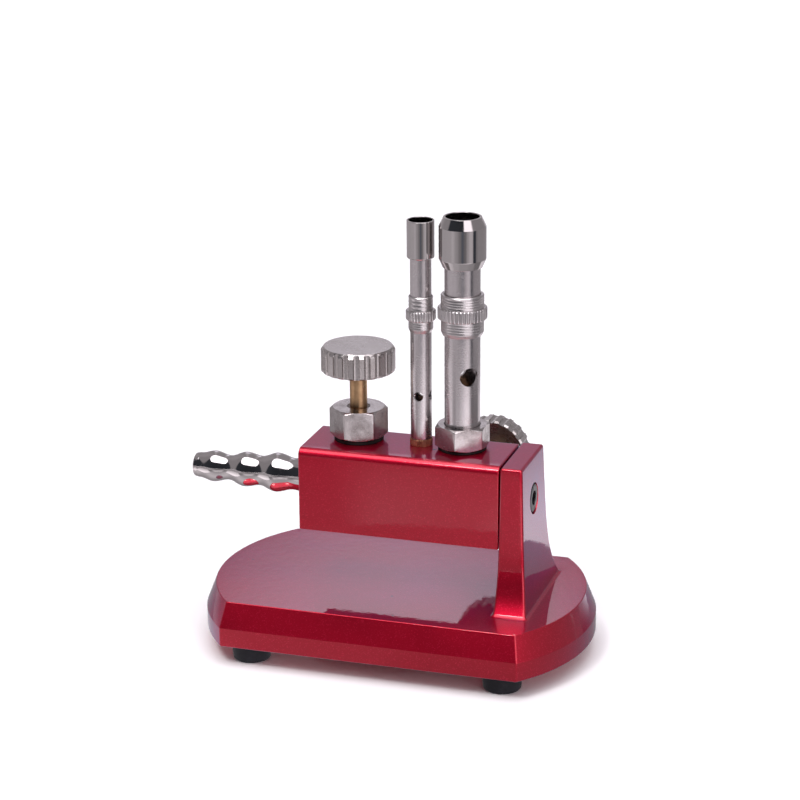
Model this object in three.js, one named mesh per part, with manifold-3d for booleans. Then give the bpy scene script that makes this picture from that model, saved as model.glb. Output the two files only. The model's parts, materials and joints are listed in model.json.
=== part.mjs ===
// Double-burner desktop gas torch.
// A cast base carries an upright post. A gas block hangs on the post by one screw and tilts about it.
// The block carries a hose barb, two needle valves, a small pilot burner and a large burner.
// Millimetres, +Z up. The origin is on the bench, under the middle of the torch's bounding box.
import * as THREE from "three";
import { mergeVertices } from "three/addons/utils/BufferGeometryUtils.js";
import Module from "manifold-3d";

const wasm = await Module();
wasm.setup();

// ---- Driving dimensions -------------------------------------------------------------------
// Lengths below are laid out from the tilt axis: X = 0 at the block's right end, Y = Z = 0 on
// the axis, and the outermost group then moves everything into the part's own frame.

const FACE_GAP = 0.15; // left between faces that bear on each other
const RUNNING_GAP = 0.1; // radial clearance of a shaft in its hole
const THREAD_GAP = 0.12; // radial clearance of a screw in its tapped hole

const BLOCK_LENGTH = 60.85;
const BLOCK_DEPTH = 24.1;
const BLOCK_HEIGHT = 25;
const BLOCK_EDGE = 1.5; // rounding of the upper long edges
const BLOCK_LOWER_EDGE = 0.5;
const BLOCK_TOP = BLOCK_HEIGHT / 2;
const BLOCK_BACK = BLOCK_DEPTH / 2;

const BASE_TOP = -30;
const BASE_BEVEL_HEIGHT = 7.3;
const BASE_BEVEL_OUT = 2.9;
const BASE_WALL_HEIGHT = 5.9;
const BASE_BOTTOM = BASE_TOP - BASE_BEVEL_HEIGHT - BASE_WALL_HEIGHT;
const BASE_MIDDLE_X = -33.3;
const BASE_HALF_CHORD_X = 43.55; // from the middle to the corners of the top face
const BASE_HALF_DEPTH = 31.4;
const BASE_END_BULGE = 12;
const BASE_SKIN = 4.5; // thickness of the cast top and of the side walls
const BASE_SOLID_FROM_X = -4; // the casting is solid under the post

const POST_LEFT_X = 0.45;
const POST_TOP_THICKNESS = 6.55;
const POST_RIGHT_DRAFT = 1.5;
const POST_RIGHT_FLARE = 1.9;
const POST_HALF_DEPTH = 12.4;
const POST_SIDE_DRAFT = 2.3;
const POST_SIDE_FLARE = 5.5;
const POST_CORNER = 1.2;

const FOOT_HEIGHT = 6;
const FOOT_TOP_RADIUS = 6;
const FOOT_BOTTOM_RADIUS = 5.5;
const FOOT_SPREAD_X = 38.3;
const FOOT_SPREAD_Y = 25.3;

const PIVOT_RADIUS = 2.5; // M5 low-head cap screw
const PIVOT_HEAD_RADIUS = 4.25;
const PIVOT_HEAD_HEIGHT = 3.5;
const PIVOT_HEX = 4;
const PIVOT_GRIP = 8.2; // length of thread in the block
const FRICTION_WASHER_RADIUS = 8;
const FRICTION_WASHER_THICKNESS = 0.8;
const SPRING_WASHER_THICKNESS = 0.6;

const BARB_BORE = 2.2;
const BARB_BULGES = [
  { x: -71.8, radius: 5.87 },
  { x: -81.7, radius: 5.23 },
  { x: -91.7, radius: 4.66 },
];
const BARB_NECKS = [
  { x: -66.4, radius: 4.75 },
  { x: -76.8, radius: 4.45 },
  { x: -86.9, radius: 3.7 },
];
const BARB_FOOT_RADIUS = 5.3;
const BARB_TIP = { x: -97.8, radius: 3.6 };
const BARB_THREAD = 4.1;
const BARB_THREAD_LENGTH = 8;

const SUPPLY_Y = 0.8;
const SUPPLY_Z = -1.8; // supply gallery, from the barb to both valve seats
const SUPPLY_RADIUS = 1.6;
const FEED_Z = 4.6; // feed gallery, from the first valve's chamber to the small burner
const FEED_RADIUS = 1.1;
const PLUG_RADIUS = 1.5;
const PLUG_LENGTH = 4;

const BORE_LINE_Y = 2.2; // the top valve and both burners stand a little behind the tilt axis
const VALVE_X = -46.65; // top valve
const SMALL_BURNER_X = -27.4;
const LARGE_BURNER_X = -14.9; // the back valve stands at the same X

const NUT_ACROSS_FLATS = 15;
const VALVE_NUT_HEIGHT = 8.85;
const VALVE_WASHER_THICKNESS = 1.2;
const VALVE_PORT_RADIUS = 5;
const VALVE_PORT_DEPTH = 5.6;
const VALVE_CHAMBER_RADIUS = 3.4;
const VALVE_CHAMBER_DEPTH = 10;
const VALVE_SEAT_RADIUS = 1.1;
const STEM_RADIUS = 2.57;
const STEM_THREAD_RADIUS = 2.95;
const STEM_SHOWN = 10.95;
const KNOB_RADIUS = 10.95;
const KNOB_FLAT_RADIUS = 10.05;
const KNOB_HEIGHT = 7.6;
const KNOB_FLUTES = 21;
const KNOB_FLUTE_DEPTH = 0.75;
const KNOB_FLUTE_STEPS = [[0, 0], [0.42, 0], [0.54, 1], [0.88, 1]];

const LARGE_RIM_Z = 81.95;
const LARGE_TUBE_RADIUS = 5.2;
const LARGE_TUBE_BORE = 4.4;
const LARGE_NUT_ACROSS_FLATS = 14.3;
const LARGE_NUT_HEIGHT = 6.6;
const LARGE_WASHER_THICKNESS = 0.8;
const LARGE_AIR_HOLE = { z: 35.45, radius: 2.75, azimuth: 40 };
const LARGE_SOCKET_RADIUS = 4.4;
const LARGE_SOCKET_BOTTOM = 6.3;

const SMALL_RIM_Z = 80.1;
const SMALL_TUBE_RADIUS = 3.1;
const SMALL_TUBE_BORE = 2.4;
const SMALL_RING_HEIGHT = 2;
const SMALL_AIR_HOLE = { z: 27.9, radius: 1.45 };
const SMALL_SOCKET_RADIUS = 3;

// ---- Materials ----------------------------------------------------------------------------

const paint = () => new THREE.MeshStandardMaterial({ color: 0x8f1428, roughness: 0.25, metalness: 0.4 });
const nickel = () => new THREE.MeshStandardMaterial({ color: 0xb5afaa, roughness: 0.28, metalness: 1 });
const brass = () => new THREE.MeshStandardMaterial({ color: 0xa9793f, roughness: 0.35, metalness: 1 });
const blackSteel = () => new THREE.MeshStandardMaterial({ color: 0x1d1f20, roughness: 0.4, metalness: 0.8 });
const rubber = () => new THREE.MeshStandardMaterial({ color: 0x1a1b1c, roughness: 0.75, metalness: 0 });
const fibre = () => new THREE.MeshStandardMaterial({ color: 0x201d1c, roughness: 0.8, metalness: 0 });

// ---- Shape helpers ------------------------------------------------------------------------

// A closed geometry as a manifold-3d solid; a solid passes through unchanged.
function solid(shape) {
  if (!shape.isBufferGeometry) return shape;
  const bare = shape.index ? shape.toNonIndexed() : shape.clone();
  bare.deleteAttribute("normal");
  bare.deleteAttribute("uv");
  const merged = mergeVertices(bare, 1e-4);
  const all = merged.index.array;
  const kept = [];
  for (let i = 0; i < all.length; i += 3) {
    const [a, b, c] = [all[i], all[i + 1], all[i + 2]];
    if (a !== b && b !== c && c !== a) kept.push(a, b, c);
  }
  return new wasm.Manifold(
    new wasm.Mesh({
      numProp: 3,
      vertProperties: new Float32Array(merged.attributes.position.array),
      triVerts: new Uint32Array(kept),
    }),
  );
}

function join(first, ...others) {
  return others.reduce((sum, next) => sum.add(solid(next)), solid(first));
}

function cut(body, ...tools) {
  return tools.reduce((left, tool) => left.subtract(solid(tool)), solid(body));
}

function common(first, second) {
  return solid(first).intersect(solid(second));
}

// A solid's triangles as a three.js geometry.
function geometryOf(shape) {
  if (shape.isBufferGeometry) return shape;
  const made = shape.getMesh();
  const geometry = new THREE.BufferGeometry();
  geometry.setAttribute("position", new THREE.BufferAttribute(made.vertProperties, 3));
  geometry.setIndex(new THREE.BufferAttribute(made.triVerts, 1));
  const flat = geometry.toNonIndexed();
  flat.computeVertexNormals();
  return flat;
}

// A [radius, height] profile turned about Z; it starts and ends on the axis, or closes on itself.
function turned(profile, segments = 24) {
  const points = profile.map(([radius, height]) => new THREE.Vector2(radius, height));
  const onAxis = points[0].x === 0 && points.at(-1).x === 0;
  if (!onAxis) points.push(points[0].clone());
  if (THREE.ShapeUtils.area(points) < 0) points.reverse();
  return new THREE.LatheGeometry(points, segments).rotateX(Math.PI / 2);
}

function rod(radius, low, high, segments = 24) {
  return turned([[0, low], [radius, low], [radius, high], [0, high]], segments);
}

function ring(inner, outer, low, high, segments = 24) {
  return turned([[inner, low], [outer, low], [outer, high], [inner, high]], segments);
}

// An outline drawn in XY, raised along Z from low to high.
function raised(shape, low, high, curveSegments = 12) {
  const depth = high - low;
  const options = { depth, bevelEnabled: false, curveSegments };
  return new THREE.ExtrudeGeometry(shape, options).translate(0, 0, low);
}

const Z_TO_X = new THREE.Matrix4().makeBasis(
  new THREE.Vector3(0, 1, 0),
  new THREE.Vector3(0, 0, 1),
  new THREE.Vector3(1, 0, 0),
);
const Z_TO_Y = new THREE.Matrix4().makeRotationX(-Math.PI / 2);

// Turns a shape made along Z so that it runs along +X, its own X and Y becoming Y and Z.
function alongX(geometry) {
  return geometry.applyMatrix4(Z_TO_X);
}

// Turns a shape made along Z so that it runs along +Y.
function alongY(geometry) {
  return geometry.applyMatrix4(Z_TO_Y);
}

function hexagon(acrossFlats, firstCornerAngle) {
  const radius = acrossFlats / Math.sqrt(3);
  const corners = [];
  for (let i = 0; i < 6; i++) {
    const angle = firstCornerAngle + (i * Math.PI) / 3;
    corners.push(new THREE.Vector2(radius * Math.cos(angle), radius * Math.sin(angle)));
  }
  return new THREE.Shape(corners);
}

// A hexagonal prism with its corners chamfered at both ends.
function hexPrism(acrossFlats, low, high, firstCornerAngle, chamfer) {
  const corner = acrossFlats / Math.sqrt(3);
  const flat = corner - chamfer * 1.7;
  const limits = turned(
    [[0, low], [flat, low], [corner + 0.05, low + chamfer], [corner + 0.05, high - chamfer], [flat, high], [0, high]],
    48,
  );
  return common(raised(hexagon(acrossFlats, firstCornerAngle), low, high), limits);
}

// A round outline with flutes cut in it. The steps say how far into one flute's pitch each point
// lies, as a share of the pitch, and how deep it is, as a share of the full depth.
function flutedOutline(radius, depth, flutes, steps) {
  const points = [];
  for (let i = 0; i < flutes; i++) {
    for (const [share, dip] of steps) {
      const angle = ((i + share) / flutes) * 2 * Math.PI;
      const reach = radius - depth * dip;
      points.push(new THREE.Vector2(reach * Math.cos(angle), reach * Math.sin(angle)));
    }
  }
  return new THREE.Shape(points);
}

// ---- Scene graph --------------------------------------------------------------------------

const torch = new THREE.Group();
const laidOut = new THREE.Group(); // everything, placed from the tilt axis
torch.add(laidOut);

function add(name, shape, material, parent = laidOut) {
  const mesh = new THREE.Mesh(geometryOf(shape), material);
  mesh.name = name;
  parent.add(mesh);
  return mesh;
}

// ---- Base casting with its post -----------------------------------------------------------

// The top face's outline: straight front and back, a circular arc at each end.
function baseOutline(inset) {
  const endRadius = (BASE_HALF_DEPTH ** 2 + BASE_END_BULGE ** 2) / (2 * BASE_END_BULGE);
  const centre = BASE_HALF_CHORD_X + BASE_END_BULGE - endRadius;
  const radius = endRadius - inset;
  const angle = Math.asin((BASE_HALF_DEPTH - inset) / radius);
  const shape = new THREE.Shape();
  shape.absarc(BASE_MIDDLE_X + centre, 0, radius, -angle, angle, false);
  shape.absarc(BASE_MIDDLE_X - centre, 0, radius, Math.PI - angle, Math.PI + angle, false);
  shape.closePath();
  return shape;
}

// Share of the way down the post, from 0 at its top to 1 at the base's top face.
const POST_STEPS = 12;
const postLevels = [];
for (let i = 0; i <= POST_STEPS; i++) postLevels.push(Math.sin((i / POST_STEPS) * (Math.PI / 2)));
const postHeightAt = (share) => BLOCK_TOP + share * (BASE_TOP - BLOCK_TOP);

function postHalfDepth(share) {
  return POST_HALF_DEPTH + POST_SIDE_DRAFT * share + POST_SIDE_FLARE * share ** 6;
}

function postRightX(share) {
  const straight = POST_LEFT_X + POST_TOP_THICKNESS + POST_RIGHT_DRAFT * share;
  return straight + POST_RIGHT_FLARE * share ** 5;
}

function postBody() {
  const foot = BASE_TOP - 1;
  const side = new THREE.Shape();
  side.moveTo(-postHalfDepth(1), foot);
  side.lineTo(postHalfDepth(1), foot);
  for (const share of postLevels.slice(1).reverse()) side.lineTo(postHalfDepth(share), postHeightAt(share));
  const cornerY = POST_HALF_DEPTH - POST_CORNER;
  const cornerZ = BLOCK_TOP - POST_CORNER;
  side.absarc(cornerY, cornerZ, POST_CORNER, 0, Math.PI / 2, false);
  side.absarc(-cornerY, cornerZ, POST_CORNER, Math.PI / 2, Math.PI, false);
  for (const share of postLevels.slice(1)) side.lineTo(-postHalfDepth(share), postHeightAt(share));

  const front = new THREE.Shape();
  front.moveTo(POST_LEFT_X, foot);
  front.lineTo(postRightX(1), foot);
  for (const share of [...postLevels].reverse()) front.lineTo(postRightX(share), postHeightAt(share));
  front.lineTo(POST_LEFT_X, BLOCK_TOP);

  const reach = 30;
  const seenFromRight = alongX(raised(side, -1, reach, 4));
  const seenFromFront = raised(front, -reach, reach).rotateX(Math.PI / 2);
  return common(seenFromRight, seenFromFront);
}

const footPlaces = [
  { side: "front_left", x: -1, y: -1 },
  { side: "front_right", x: 1, y: -1 },
  { side: "back_left", x: -1, y: 1 },
  { side: "back_right", x: 1, y: 1 },
].map(({ side, x, y }) => ({ side, x: BASE_MIDDLE_X + x * FOOT_SPREAD_X, y: y * FOOT_SPREAD_Y }));

const FOOT_SCREW_RADIUS = 1.5;
const FOOT_SCREW_REACH = 7; // length of thread in the boss
const PIVOT_COUNTERBORE_X = 3;

function baseCasting() {
  const sides = new THREE.ExtrudeGeometry(baseOutline(0), {
    depth: 2 * BASE_WALL_HEIGHT,
    bevelThickness: BASE_BEVEL_HEIGHT,
    bevelSize: BASE_BEVEL_OUT,
    bevelSegments: 1,
    curveSegments: 24,
  }).translate(0, 0, BASE_BOTTOM - BASE_WALL_HEIGHT);
  const above = new THREE.BoxGeometry(200, 120, 40).translate(BASE_MIDDLE_X, 0, BASE_BOTTOM + 20);
  let casting = join(common(sides, above), postBody());

  const hollowLength = BASE_SOLID_FROM_X + 120;
  const hollowLimit = new THREE.BoxGeometry(hollowLength, 120, 40)
    .translate(BASE_SOLID_FROM_X - hollowLength / 2, 0, BASE_BOTTOM);
  const hollow = raised(baseOutline(BASE_SKIN), BASE_BOTTOM - 1, BASE_TOP - BASE_SKIN, 20);
  let core = common(hollow, hollowLimit);
  for (const { x, y } of footPlaces) {
    core = cut(core, rod(FOOT_TOP_RADIUS + 1, BASE_BOTTOM - 2, BASE_TOP, 24).translate(x, y, 0));
  }
  casting = cut(casting, core);
  const tappedEnd = BASE_BOTTOM + FOOT_SCREW_REACH + 0.6;
  for (const { x, y } of footPlaces) {
    const tapped = rod(FOOT_SCREW_RADIUS + THREAD_GAP, BASE_BOTTOM - 1, tappedEnd, 12);
    casting = cut(casting, tapped.translate(x, y, 0));
  }

  const shaftHole = alongX(rod(PIVOT_RADIUS + RUNNING_GAP, -2, 14, 24));
  const headRecess = alongX(rod(PIVOT_HEAD_RADIUS + 0.2, PIVOT_COUNTERBORE_X, 14));
  const washerRecess = alongX(rod(FRICTION_WASHER_RADIUS + 0.2, -2, POST_LEFT_X + 0.55));
  return cut(casting, shaftHole, headRecess, washerRecess);
}

add("base_casting", baseCasting(), paint());

// ---- Feet and their screws ----------------------------------------------------------------

const FOOT_BOTTOM = BASE_BOTTOM - FOOT_HEIGHT;
const FOOT_RECESS_TOP = FOOT_BOTTOM + 3.2;

for (const { side, x, y } of footPlaces) {
  const top = BASE_BOTTOM - FACE_GAP;
  const foot = turned([
    [FOOT_SCREW_RADIUS + 0.15, top],
    [FOOT_SCREW_RADIUS + 0.15, FOOT_RECESS_TOP],
    [3.1, FOOT_RECESS_TOP],
    [3.1, FOOT_BOTTOM],
    [FOOT_BOTTOM_RADIUS - 0.6, FOOT_BOTTOM],
    [FOOT_BOTTOM_RADIUS, FOOT_BOTTOM + 0.6],
    [FOOT_TOP_RADIUS, top],
  ], 20);
  add(`foot_${side}`, foot, rubber()).position.set(x, y, 0);

  const headTop = FOOT_RECESS_TOP - FACE_GAP;
  const shank = rod(FOOT_SCREW_RADIUS, headTop - 0.5, BASE_BOTTOM + FOOT_SCREW_REACH, 12);
  const head = rod(2.8, headTop - 2, headTop, 16);
  const slot = new THREE.BoxGeometry(0.8, 7, 2).translate(0, 0, headTop - 2);
  add(`foot_screw_${side}`, cut(join(shank, head), slot), blackSteel()).position.set(x, y, 0);
}

// ---- Gas block ----------------------------------------------------------------------------

function blockSection() {
  const y = BLOCK_BACK - BLOCK_EDGE;
  const z = BLOCK_TOP - BLOCK_EDGE;
  const lowY = BLOCK_BACK - BLOCK_LOWER_EDGE;
  const lowZ = BLOCK_TOP - BLOCK_LOWER_EDGE;
  const shape = new THREE.Shape();
  shape.absarc(y, z, BLOCK_EDGE, 0, Math.PI / 2, false);
  shape.absarc(-y, z, BLOCK_EDGE, Math.PI / 2, Math.PI, false);
  shape.absarc(-lowY, -lowZ, BLOCK_LOWER_EDGE, Math.PI, 1.5 * Math.PI, false);
  shape.absarc(lowY, -lowZ, BLOCK_LOWER_EDGE, 1.5 * Math.PI, 2 * Math.PI, false);
  shape.closePath();
  return shape;
}

// A needle valve's port, chamber and seat, sunk from a face at height 0 and reaching down to seatEnd.
function valveCavity(seatEnd) {
  return turned([
    [0, seatEnd],
    [VALVE_SEAT_RADIUS, seatEnd],
    [VALVE_SEAT_RADIUS, -VALVE_CHAMBER_DEPTH],
    [VALVE_CHAMBER_RADIUS, -VALVE_CHAMBER_DEPTH],
    [VALVE_CHAMBER_RADIUS, -VALVE_PORT_DEPTH],
    [VALVE_PORT_RADIUS, -VALVE_PORT_DEPTH],
    [VALVE_PORT_RADIUS, 1],
    [0, 1],
  ]);
}

const BARB_POCKET_X = -BLOCK_LENGTH + BARB_THREAD_LENGTH + 1.2;
const TO_BURNER_RADIUS = 0.9; // drilling from the back valve's chamber up to the large burner
const TO_BURNER_Y = 3.2;

function gasBlock() {
  const bar = alongX(raised(blockSection(), -BLOCK_LENGTH, 0, 5));
  const barbPocket = alongX(rod(BARB_THREAD + THREAD_GAP, -BLOCK_LENGTH - 1, BARB_POCKET_X));
  const supply = alongX(rod(SUPPLY_RADIUS, -BLOCK_LENGTH + 2, LARGE_BURNER_X + VALVE_SEAT_RADIUS, 16));
  const feed = alongX(rod(FEED_RADIUS, VALVE_X, 1, 12));
  const plugHole = alongX(rod(PLUG_RADIUS + THREAD_GAP, -PLUG_LENGTH - 0.6, 1, 16));
  const pivotHole = alongX(rod(PIVOT_RADIUS + THREAD_GAP, -PIVOT_GRIP - 0.6, 1, 24));
  const topValve = valveCavity(SUPPLY_Z - BLOCK_TOP).translate(VALVE_X, BORE_LINE_Y, BLOCK_TOP);
  const backValve = alongY(valveCavity(-0.8 - BLOCK_BACK)).translate(LARGE_BURNER_X, BLOCK_BACK, 0);
  const largeSocket = rod(LARGE_SOCKET_RADIUS, LARGE_SOCKET_BOTTOM, BLOCK_TOP + 1);
  const toBurner = rod(TO_BURNER_RADIUS, 2.6, LARGE_SOCKET_BOTTOM + 0.5, 12);
  const smallSocket = rod(SMALL_SOCKET_RADIUS, FEED_Z, BLOCK_TOP + 1, 24);
  return cut(
    bar,
    barbPocket,
    supply.translate(0, SUPPLY_Y, SUPPLY_Z),
    feed.translate(0, 0, FEED_Z),
    plugHole.translate(0, 0, FEED_Z),
    pivotHole,
    topValve,
    backValve,
    largeSocket.translate(LARGE_BURNER_X, BORE_LINE_Y, 0),
    toBurner.translate(LARGE_BURNER_X, TO_BURNER_Y, 0),
    smallSocket.translate(SMALL_BURNER_X, BORE_LINE_Y, 0),
  );
}

add("gas_block", gasBlock(), paint());

const plug = cut(
  rod(PLUG_RADIUS, -PLUG_LENGTH, -0.3, 16),
  raised(hexagon(1.5, 0), -1.8, 0),
);
add("gallery_plug", alongX(geometryOf(plug)), blackSteel()).position.z = FEED_Z;

// ---- Tilt pivot ---------------------------------------------------------------------------

const washerLeft = FACE_GAP;
const frictionWasher = ring(
  PIVOT_RADIUS + 0.2,
  FRICTION_WASHER_RADIUS,
  washerLeft,
  washerLeft + FRICTION_WASHER_THICKNESS - 0.1,
);
add("pivot_friction_washer", alongX(frictionWasher), fibre());

const springLeft = PIVOT_COUNTERBORE_X + FACE_GAP;
const headLeft = springLeft + SPRING_WASHER_THICKNESS + FACE_GAP;
const springWasher = turned([
  [PIVOT_RADIUS + 0.15, springLeft + 0.2],
  [PIVOT_HEAD_RADIUS - 0.1, springLeft],
  [PIVOT_HEAD_RADIUS - 0.1, springLeft + SPRING_WASHER_THICKNESS - 0.2],
  [PIVOT_RADIUS + 0.15, springLeft + SPRING_WASHER_THICKNESS],
], 20);
add("pivot_spring_washer", alongX(springWasher), blackSteel());

const pivotScrew = cut(
  turned([
    [0, -PIVOT_GRIP],
    [PIVOT_RADIUS - 0.5, -PIVOT_GRIP],
    [PIVOT_RADIUS, 0.5 - PIVOT_GRIP],
    [PIVOT_RADIUS, headLeft],
    [PIVOT_HEAD_RADIUS, headLeft],
    [PIVOT_HEAD_RADIUS, headLeft + PIVOT_HEAD_HEIGHT - 0.4],
    [PIVOT_HEAD_RADIUS - 0.4, headLeft + PIVOT_HEAD_HEIGHT],
    [0, headLeft + PIVOT_HEAD_HEIGHT],
  ], 24),
  raised(hexagon(PIVOT_HEX, 0), headLeft + 1.2, headLeft + PIVOT_HEAD_HEIGHT + 1),
);
add("pivot_screw", alongX(geometryOf(pivotScrew)), blackSteel());

// ---- Hose barb ----------------------------------------------------------------------------

// Points of a smooth half wave from one radius to the next, the end point left out.
function wave(from, to, steps) {
  const points = [];
  for (let i = 0; i < steps; i++) {
    const share = i / steps;
    const blend = (1 - Math.cos(Math.PI * share)) / 2;
    points.push([from.radius + (to.radius - from.radius) * blend, from.x + (to.x - from.x) * share]);
  }
  return points;
}

function hoseBarb() {
  const shoulder = { x: -BLOCK_LENGTH - FACE_GAP, radius: BARB_FOOT_RADIUS };
  const stations = [shoulder, ...BARB_NECKS.flatMap((neck, i) => [neck, BARB_BULGES[i]])];
  const outside = stations.slice(0, -1).flatMap((station, i) => wave(station, stations[i + 1], 3));
  const threadEnd = shoulder.x + FACE_GAP + BARB_THREAD_LENGTH;
  return turned([
    [BARB_BORE, threadEnd],
    [BARB_THREAD, threadEnd],
    [BARB_THREAD, shoulder.x],
    ...outside,
    ...wave(stations.at(-1), { x: BARB_TIP.x + 0.6, radius: BARB_TIP.radius }, 3),
    [BARB_TIP.radius, BARB_TIP.x + 0.6],
    [BARB_TIP.radius - 0.4, BARB_TIP.x],
    [BARB_BORE, BARB_TIP.x],
  ], 20);
}

add("hose_barb", alongX(hoseBarb()), nickel());

const sealLeft = -BLOCK_LENGTH + BARB_THREAD_LENGTH + FACE_GAP;
add("barb_seal", alongX(ring(3.5, BARB_THREAD, sealLeft, sealLeft + 0.9, 24)), fibre());

// ---- Needle valves ------------------------------------------------------------------------

// Heights are measured outward from the block's face that the valve is screwed into.
const NUT_BOTTOM = VALVE_WASHER_THICKNESS;
const NUT_TOP = NUT_BOTTOM + VALVE_NUT_HEIGHT;
const KNOB_BOTTOM = NUT_TOP + STEM_SHOWN;
const SPIGOT_RADIUS = VALVE_PORT_RADIUS - THREAD_GAP;
const SPIGOT_END = FACE_GAP - VALVE_PORT_DEPTH;
const ORING_HEIGHT = 5.6;
const STEM_THREAD_TOP = 2.2;

function valveNut(firstCornerAngle) {
  const head = hexPrism(NUT_ACROSS_FLATS, NUT_BOTTOM + FACE_GAP, NUT_TOP, firstCornerAngle, 0.45);
  const spigot = rod(SPIGOT_RADIUS, SPIGOT_END, NUT_BOTTOM + 1);
  const bore = turned([
    [0, SPIGOT_END - 1],
    [STEM_THREAD_RADIUS + THREAD_GAP, SPIGOT_END - 1],
    [STEM_THREAD_RADIUS + THREAD_GAP, STEM_THREAD_TOP + 2.6],
    [STEM_RADIUS + RUNNING_GAP + 0.06, STEM_THREAD_TOP + 2.6],
    [STEM_RADIUS + RUNNING_GAP + 0.06, NUT_TOP - 0.7],
    [STEM_RADIUS + 0.7, NUT_TOP],
    [STEM_RADIUS + 0.7, NUT_TOP + 1],
    [0, NUT_TOP + 1],
  ]);
  return cut(join(head, spigot), bore);
}

function valveStem() {
  return turned([
    [0, -VALVE_CHAMBER_DEPTH - 2],
    [0.35, -VALVE_CHAMBER_DEPTH - 2],
    [1.7, -VALVE_CHAMBER_DEPTH + 1.8],
    [1.7, -6.2],
    [STEM_THREAD_RADIUS, -5.6],
    [STEM_THREAD_RADIUS, STEM_THREAD_TOP],
    [STEM_RADIUS, STEM_THREAD_TOP + 0.3],
    [STEM_RADIUS, ORING_HEIGHT - 0.6],
    [STEM_RADIUS - 0.7, ORING_HEIGHT - 0.6],
    [STEM_RADIUS - 0.7, ORING_HEIGHT + 0.6],
    [STEM_RADIUS, ORING_HEIGHT + 0.6],
    [STEM_RADIUS, KNOB_BOTTOM + 5.5],
    [0, KNOB_BOTTOM + 5.5],
  ], 18);
}

function stemOring() {
  const middle = STEM_RADIUS - 0.27;
  const half = 0.3;
  const section = [];
  for (let i = 0; i < 6; i++) {
    const angle = (i * Math.PI) / 3;
    section.push([middle + half * Math.cos(angle), ORING_HEIGHT + 0.45 * Math.sin(angle)]);
  }
  return turned(section, 16);
}

function knob() {
  const fluted = raised(
    flutedOutline(KNOB_RADIUS, KNOB_FLUTE_DEPTH, KNOB_FLUTES, KNOB_FLUTE_STEPS),
    KNOB_BOTTOM,
    KNOB_BOTTOM + KNOB_HEIGHT,
  );
  const limits = turned([
    [0, KNOB_BOTTOM],
    [KNOB_RADIUS - 0.5, KNOB_BOTTOM],
    [KNOB_RADIUS + 0.05, KNOB_BOTTOM + 0.4],
    [KNOB_RADIUS + 0.05, KNOB_BOTTOM + KNOB_HEIGHT - 1.2],
    [KNOB_FLAT_RADIUS, KNOB_BOTTOM + KNOB_HEIGHT],
    [0, KNOB_BOTTOM + KNOB_HEIGHT],
  ], 42);
  return cut(common(fluted, limits), rod(STEM_RADIUS + RUNNING_GAP, KNOB_BOTTOM - 1, KNOB_BOTTOM + 5.8, 24));
}

function addValve(name, nutAngle, place) {
  const valve = new THREE.Group();
  place(valve);
  laidOut.add(valve);
  add(`${name}_washer`, ring(VALVE_PORT_RADIUS + 0.2, 7.6, FACE_GAP, NUT_BOTTOM), fibre(), valve);
  add(`${name}_nut`, valveNut(nutAngle), nickel(), valve);
  add(`${name}_stem`, valveStem(), brass(), valve);
  add(`${name}_oring`, stemOring(), rubber(), valve);
  add(`${name}_knob`, knob(), nickel(), valve);
}

const TOP_NUT_CORNER = THREE.MathUtils.degToRad(-102);
addValve("top_valve", TOP_NUT_CORNER, (valve) => {
  valve.position.set(VALVE_X, BORE_LINE_Y, BLOCK_TOP);
});
addValve("back_valve", 0, (valve) => {
  valve.position.set(LARGE_BURNER_X, BLOCK_BACK, 0);
  valve.rotation.x = -Math.PI / 2;
});

// ---- Large burner -------------------------------------------------------------------------

const largeBurner = new THREE.Group();
largeBurner.position.set(LARGE_BURNER_X, BORE_LINE_Y, 0);
laidOut.add(largeBurner);

const LARGE_NUT_BOTTOM = BLOCK_TOP + LARGE_WASHER_THICKNESS + FACE_GAP;
const LARGE_NUT_TOP = LARGE_NUT_BOTTOM + LARGE_NUT_HEIGHT;
const LARGE_TUBE_BOTTOM = LARGE_NUT_TOP - 4.5;
const LARGE_HEAD_STEP = LARGE_RIM_Z - 8;
const LARGE_HEAD_BOTTOM = LARGE_RIM_Z - 14.75;
const LARGE_COLLAR_TOP = LARGE_RIM_Z - 22.65;
const LARGE_COLLAR_LENGTH = 12.1;

function largeNut() {
  const head = hexPrism(LARGE_NUT_ACROSS_FLATS, LARGE_NUT_BOTTOM, LARGE_NUT_TOP, Math.PI / 2, 0.5);
  const spigot = rod(LARGE_SOCKET_RADIUS - THREAD_GAP, LARGE_SOCKET_BOTTOM + 0.8, LARGE_NUT_BOTTOM + 0.5);
  const bore = turned([
    [0, LARGE_SOCKET_BOTTOM],
    [2.4, LARGE_SOCKET_BOTTOM],
    [2.4, LARGE_TUBE_BOTTOM - FACE_GAP],
    [LARGE_TUBE_RADIUS + THREAD_GAP, LARGE_TUBE_BOTTOM - FACE_GAP],
    [LARGE_TUBE_RADIUS + THREAD_GAP, LARGE_NUT_TOP + 1],
    [0, LARGE_NUT_TOP + 1],
  ]);
  return cut(join(head, spigot), bore);
}

function largeTube() {
  const { z, radius, azimuth } = LARGE_AIR_HOLE;
  const wall = ring(LARGE_TUBE_BORE, LARGE_TUBE_RADIUS, LARGE_TUBE_BOTTOM, LARGE_HEAD_STEP - FACE_GAP, 32);
  const drill = alongY(rod(radius, -10, 10, 24)).rotateZ(THREE.MathUtils.degToRad(azimuth));
  return cut(wall, drill.translate(0, 0, z));
}

const largeHead = turned([
  [4.9, LARGE_RIM_Z],
  [4.9, LARGE_HEAD_STEP],
  [LARGE_TUBE_RADIUS + THREAD_GAP, LARGE_HEAD_STEP],
  [LARGE_TUBE_RADIUS + THREAD_GAP, LARGE_HEAD_BOTTOM],
  [5.75, LARGE_HEAD_BOTTOM],
  [6.85, LARGE_RIM_Z - 12.2],
  [6.85, LARGE_RIM_Z - 2.85],
  [5.5, LARGE_RIM_Z],
], 32);

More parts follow.
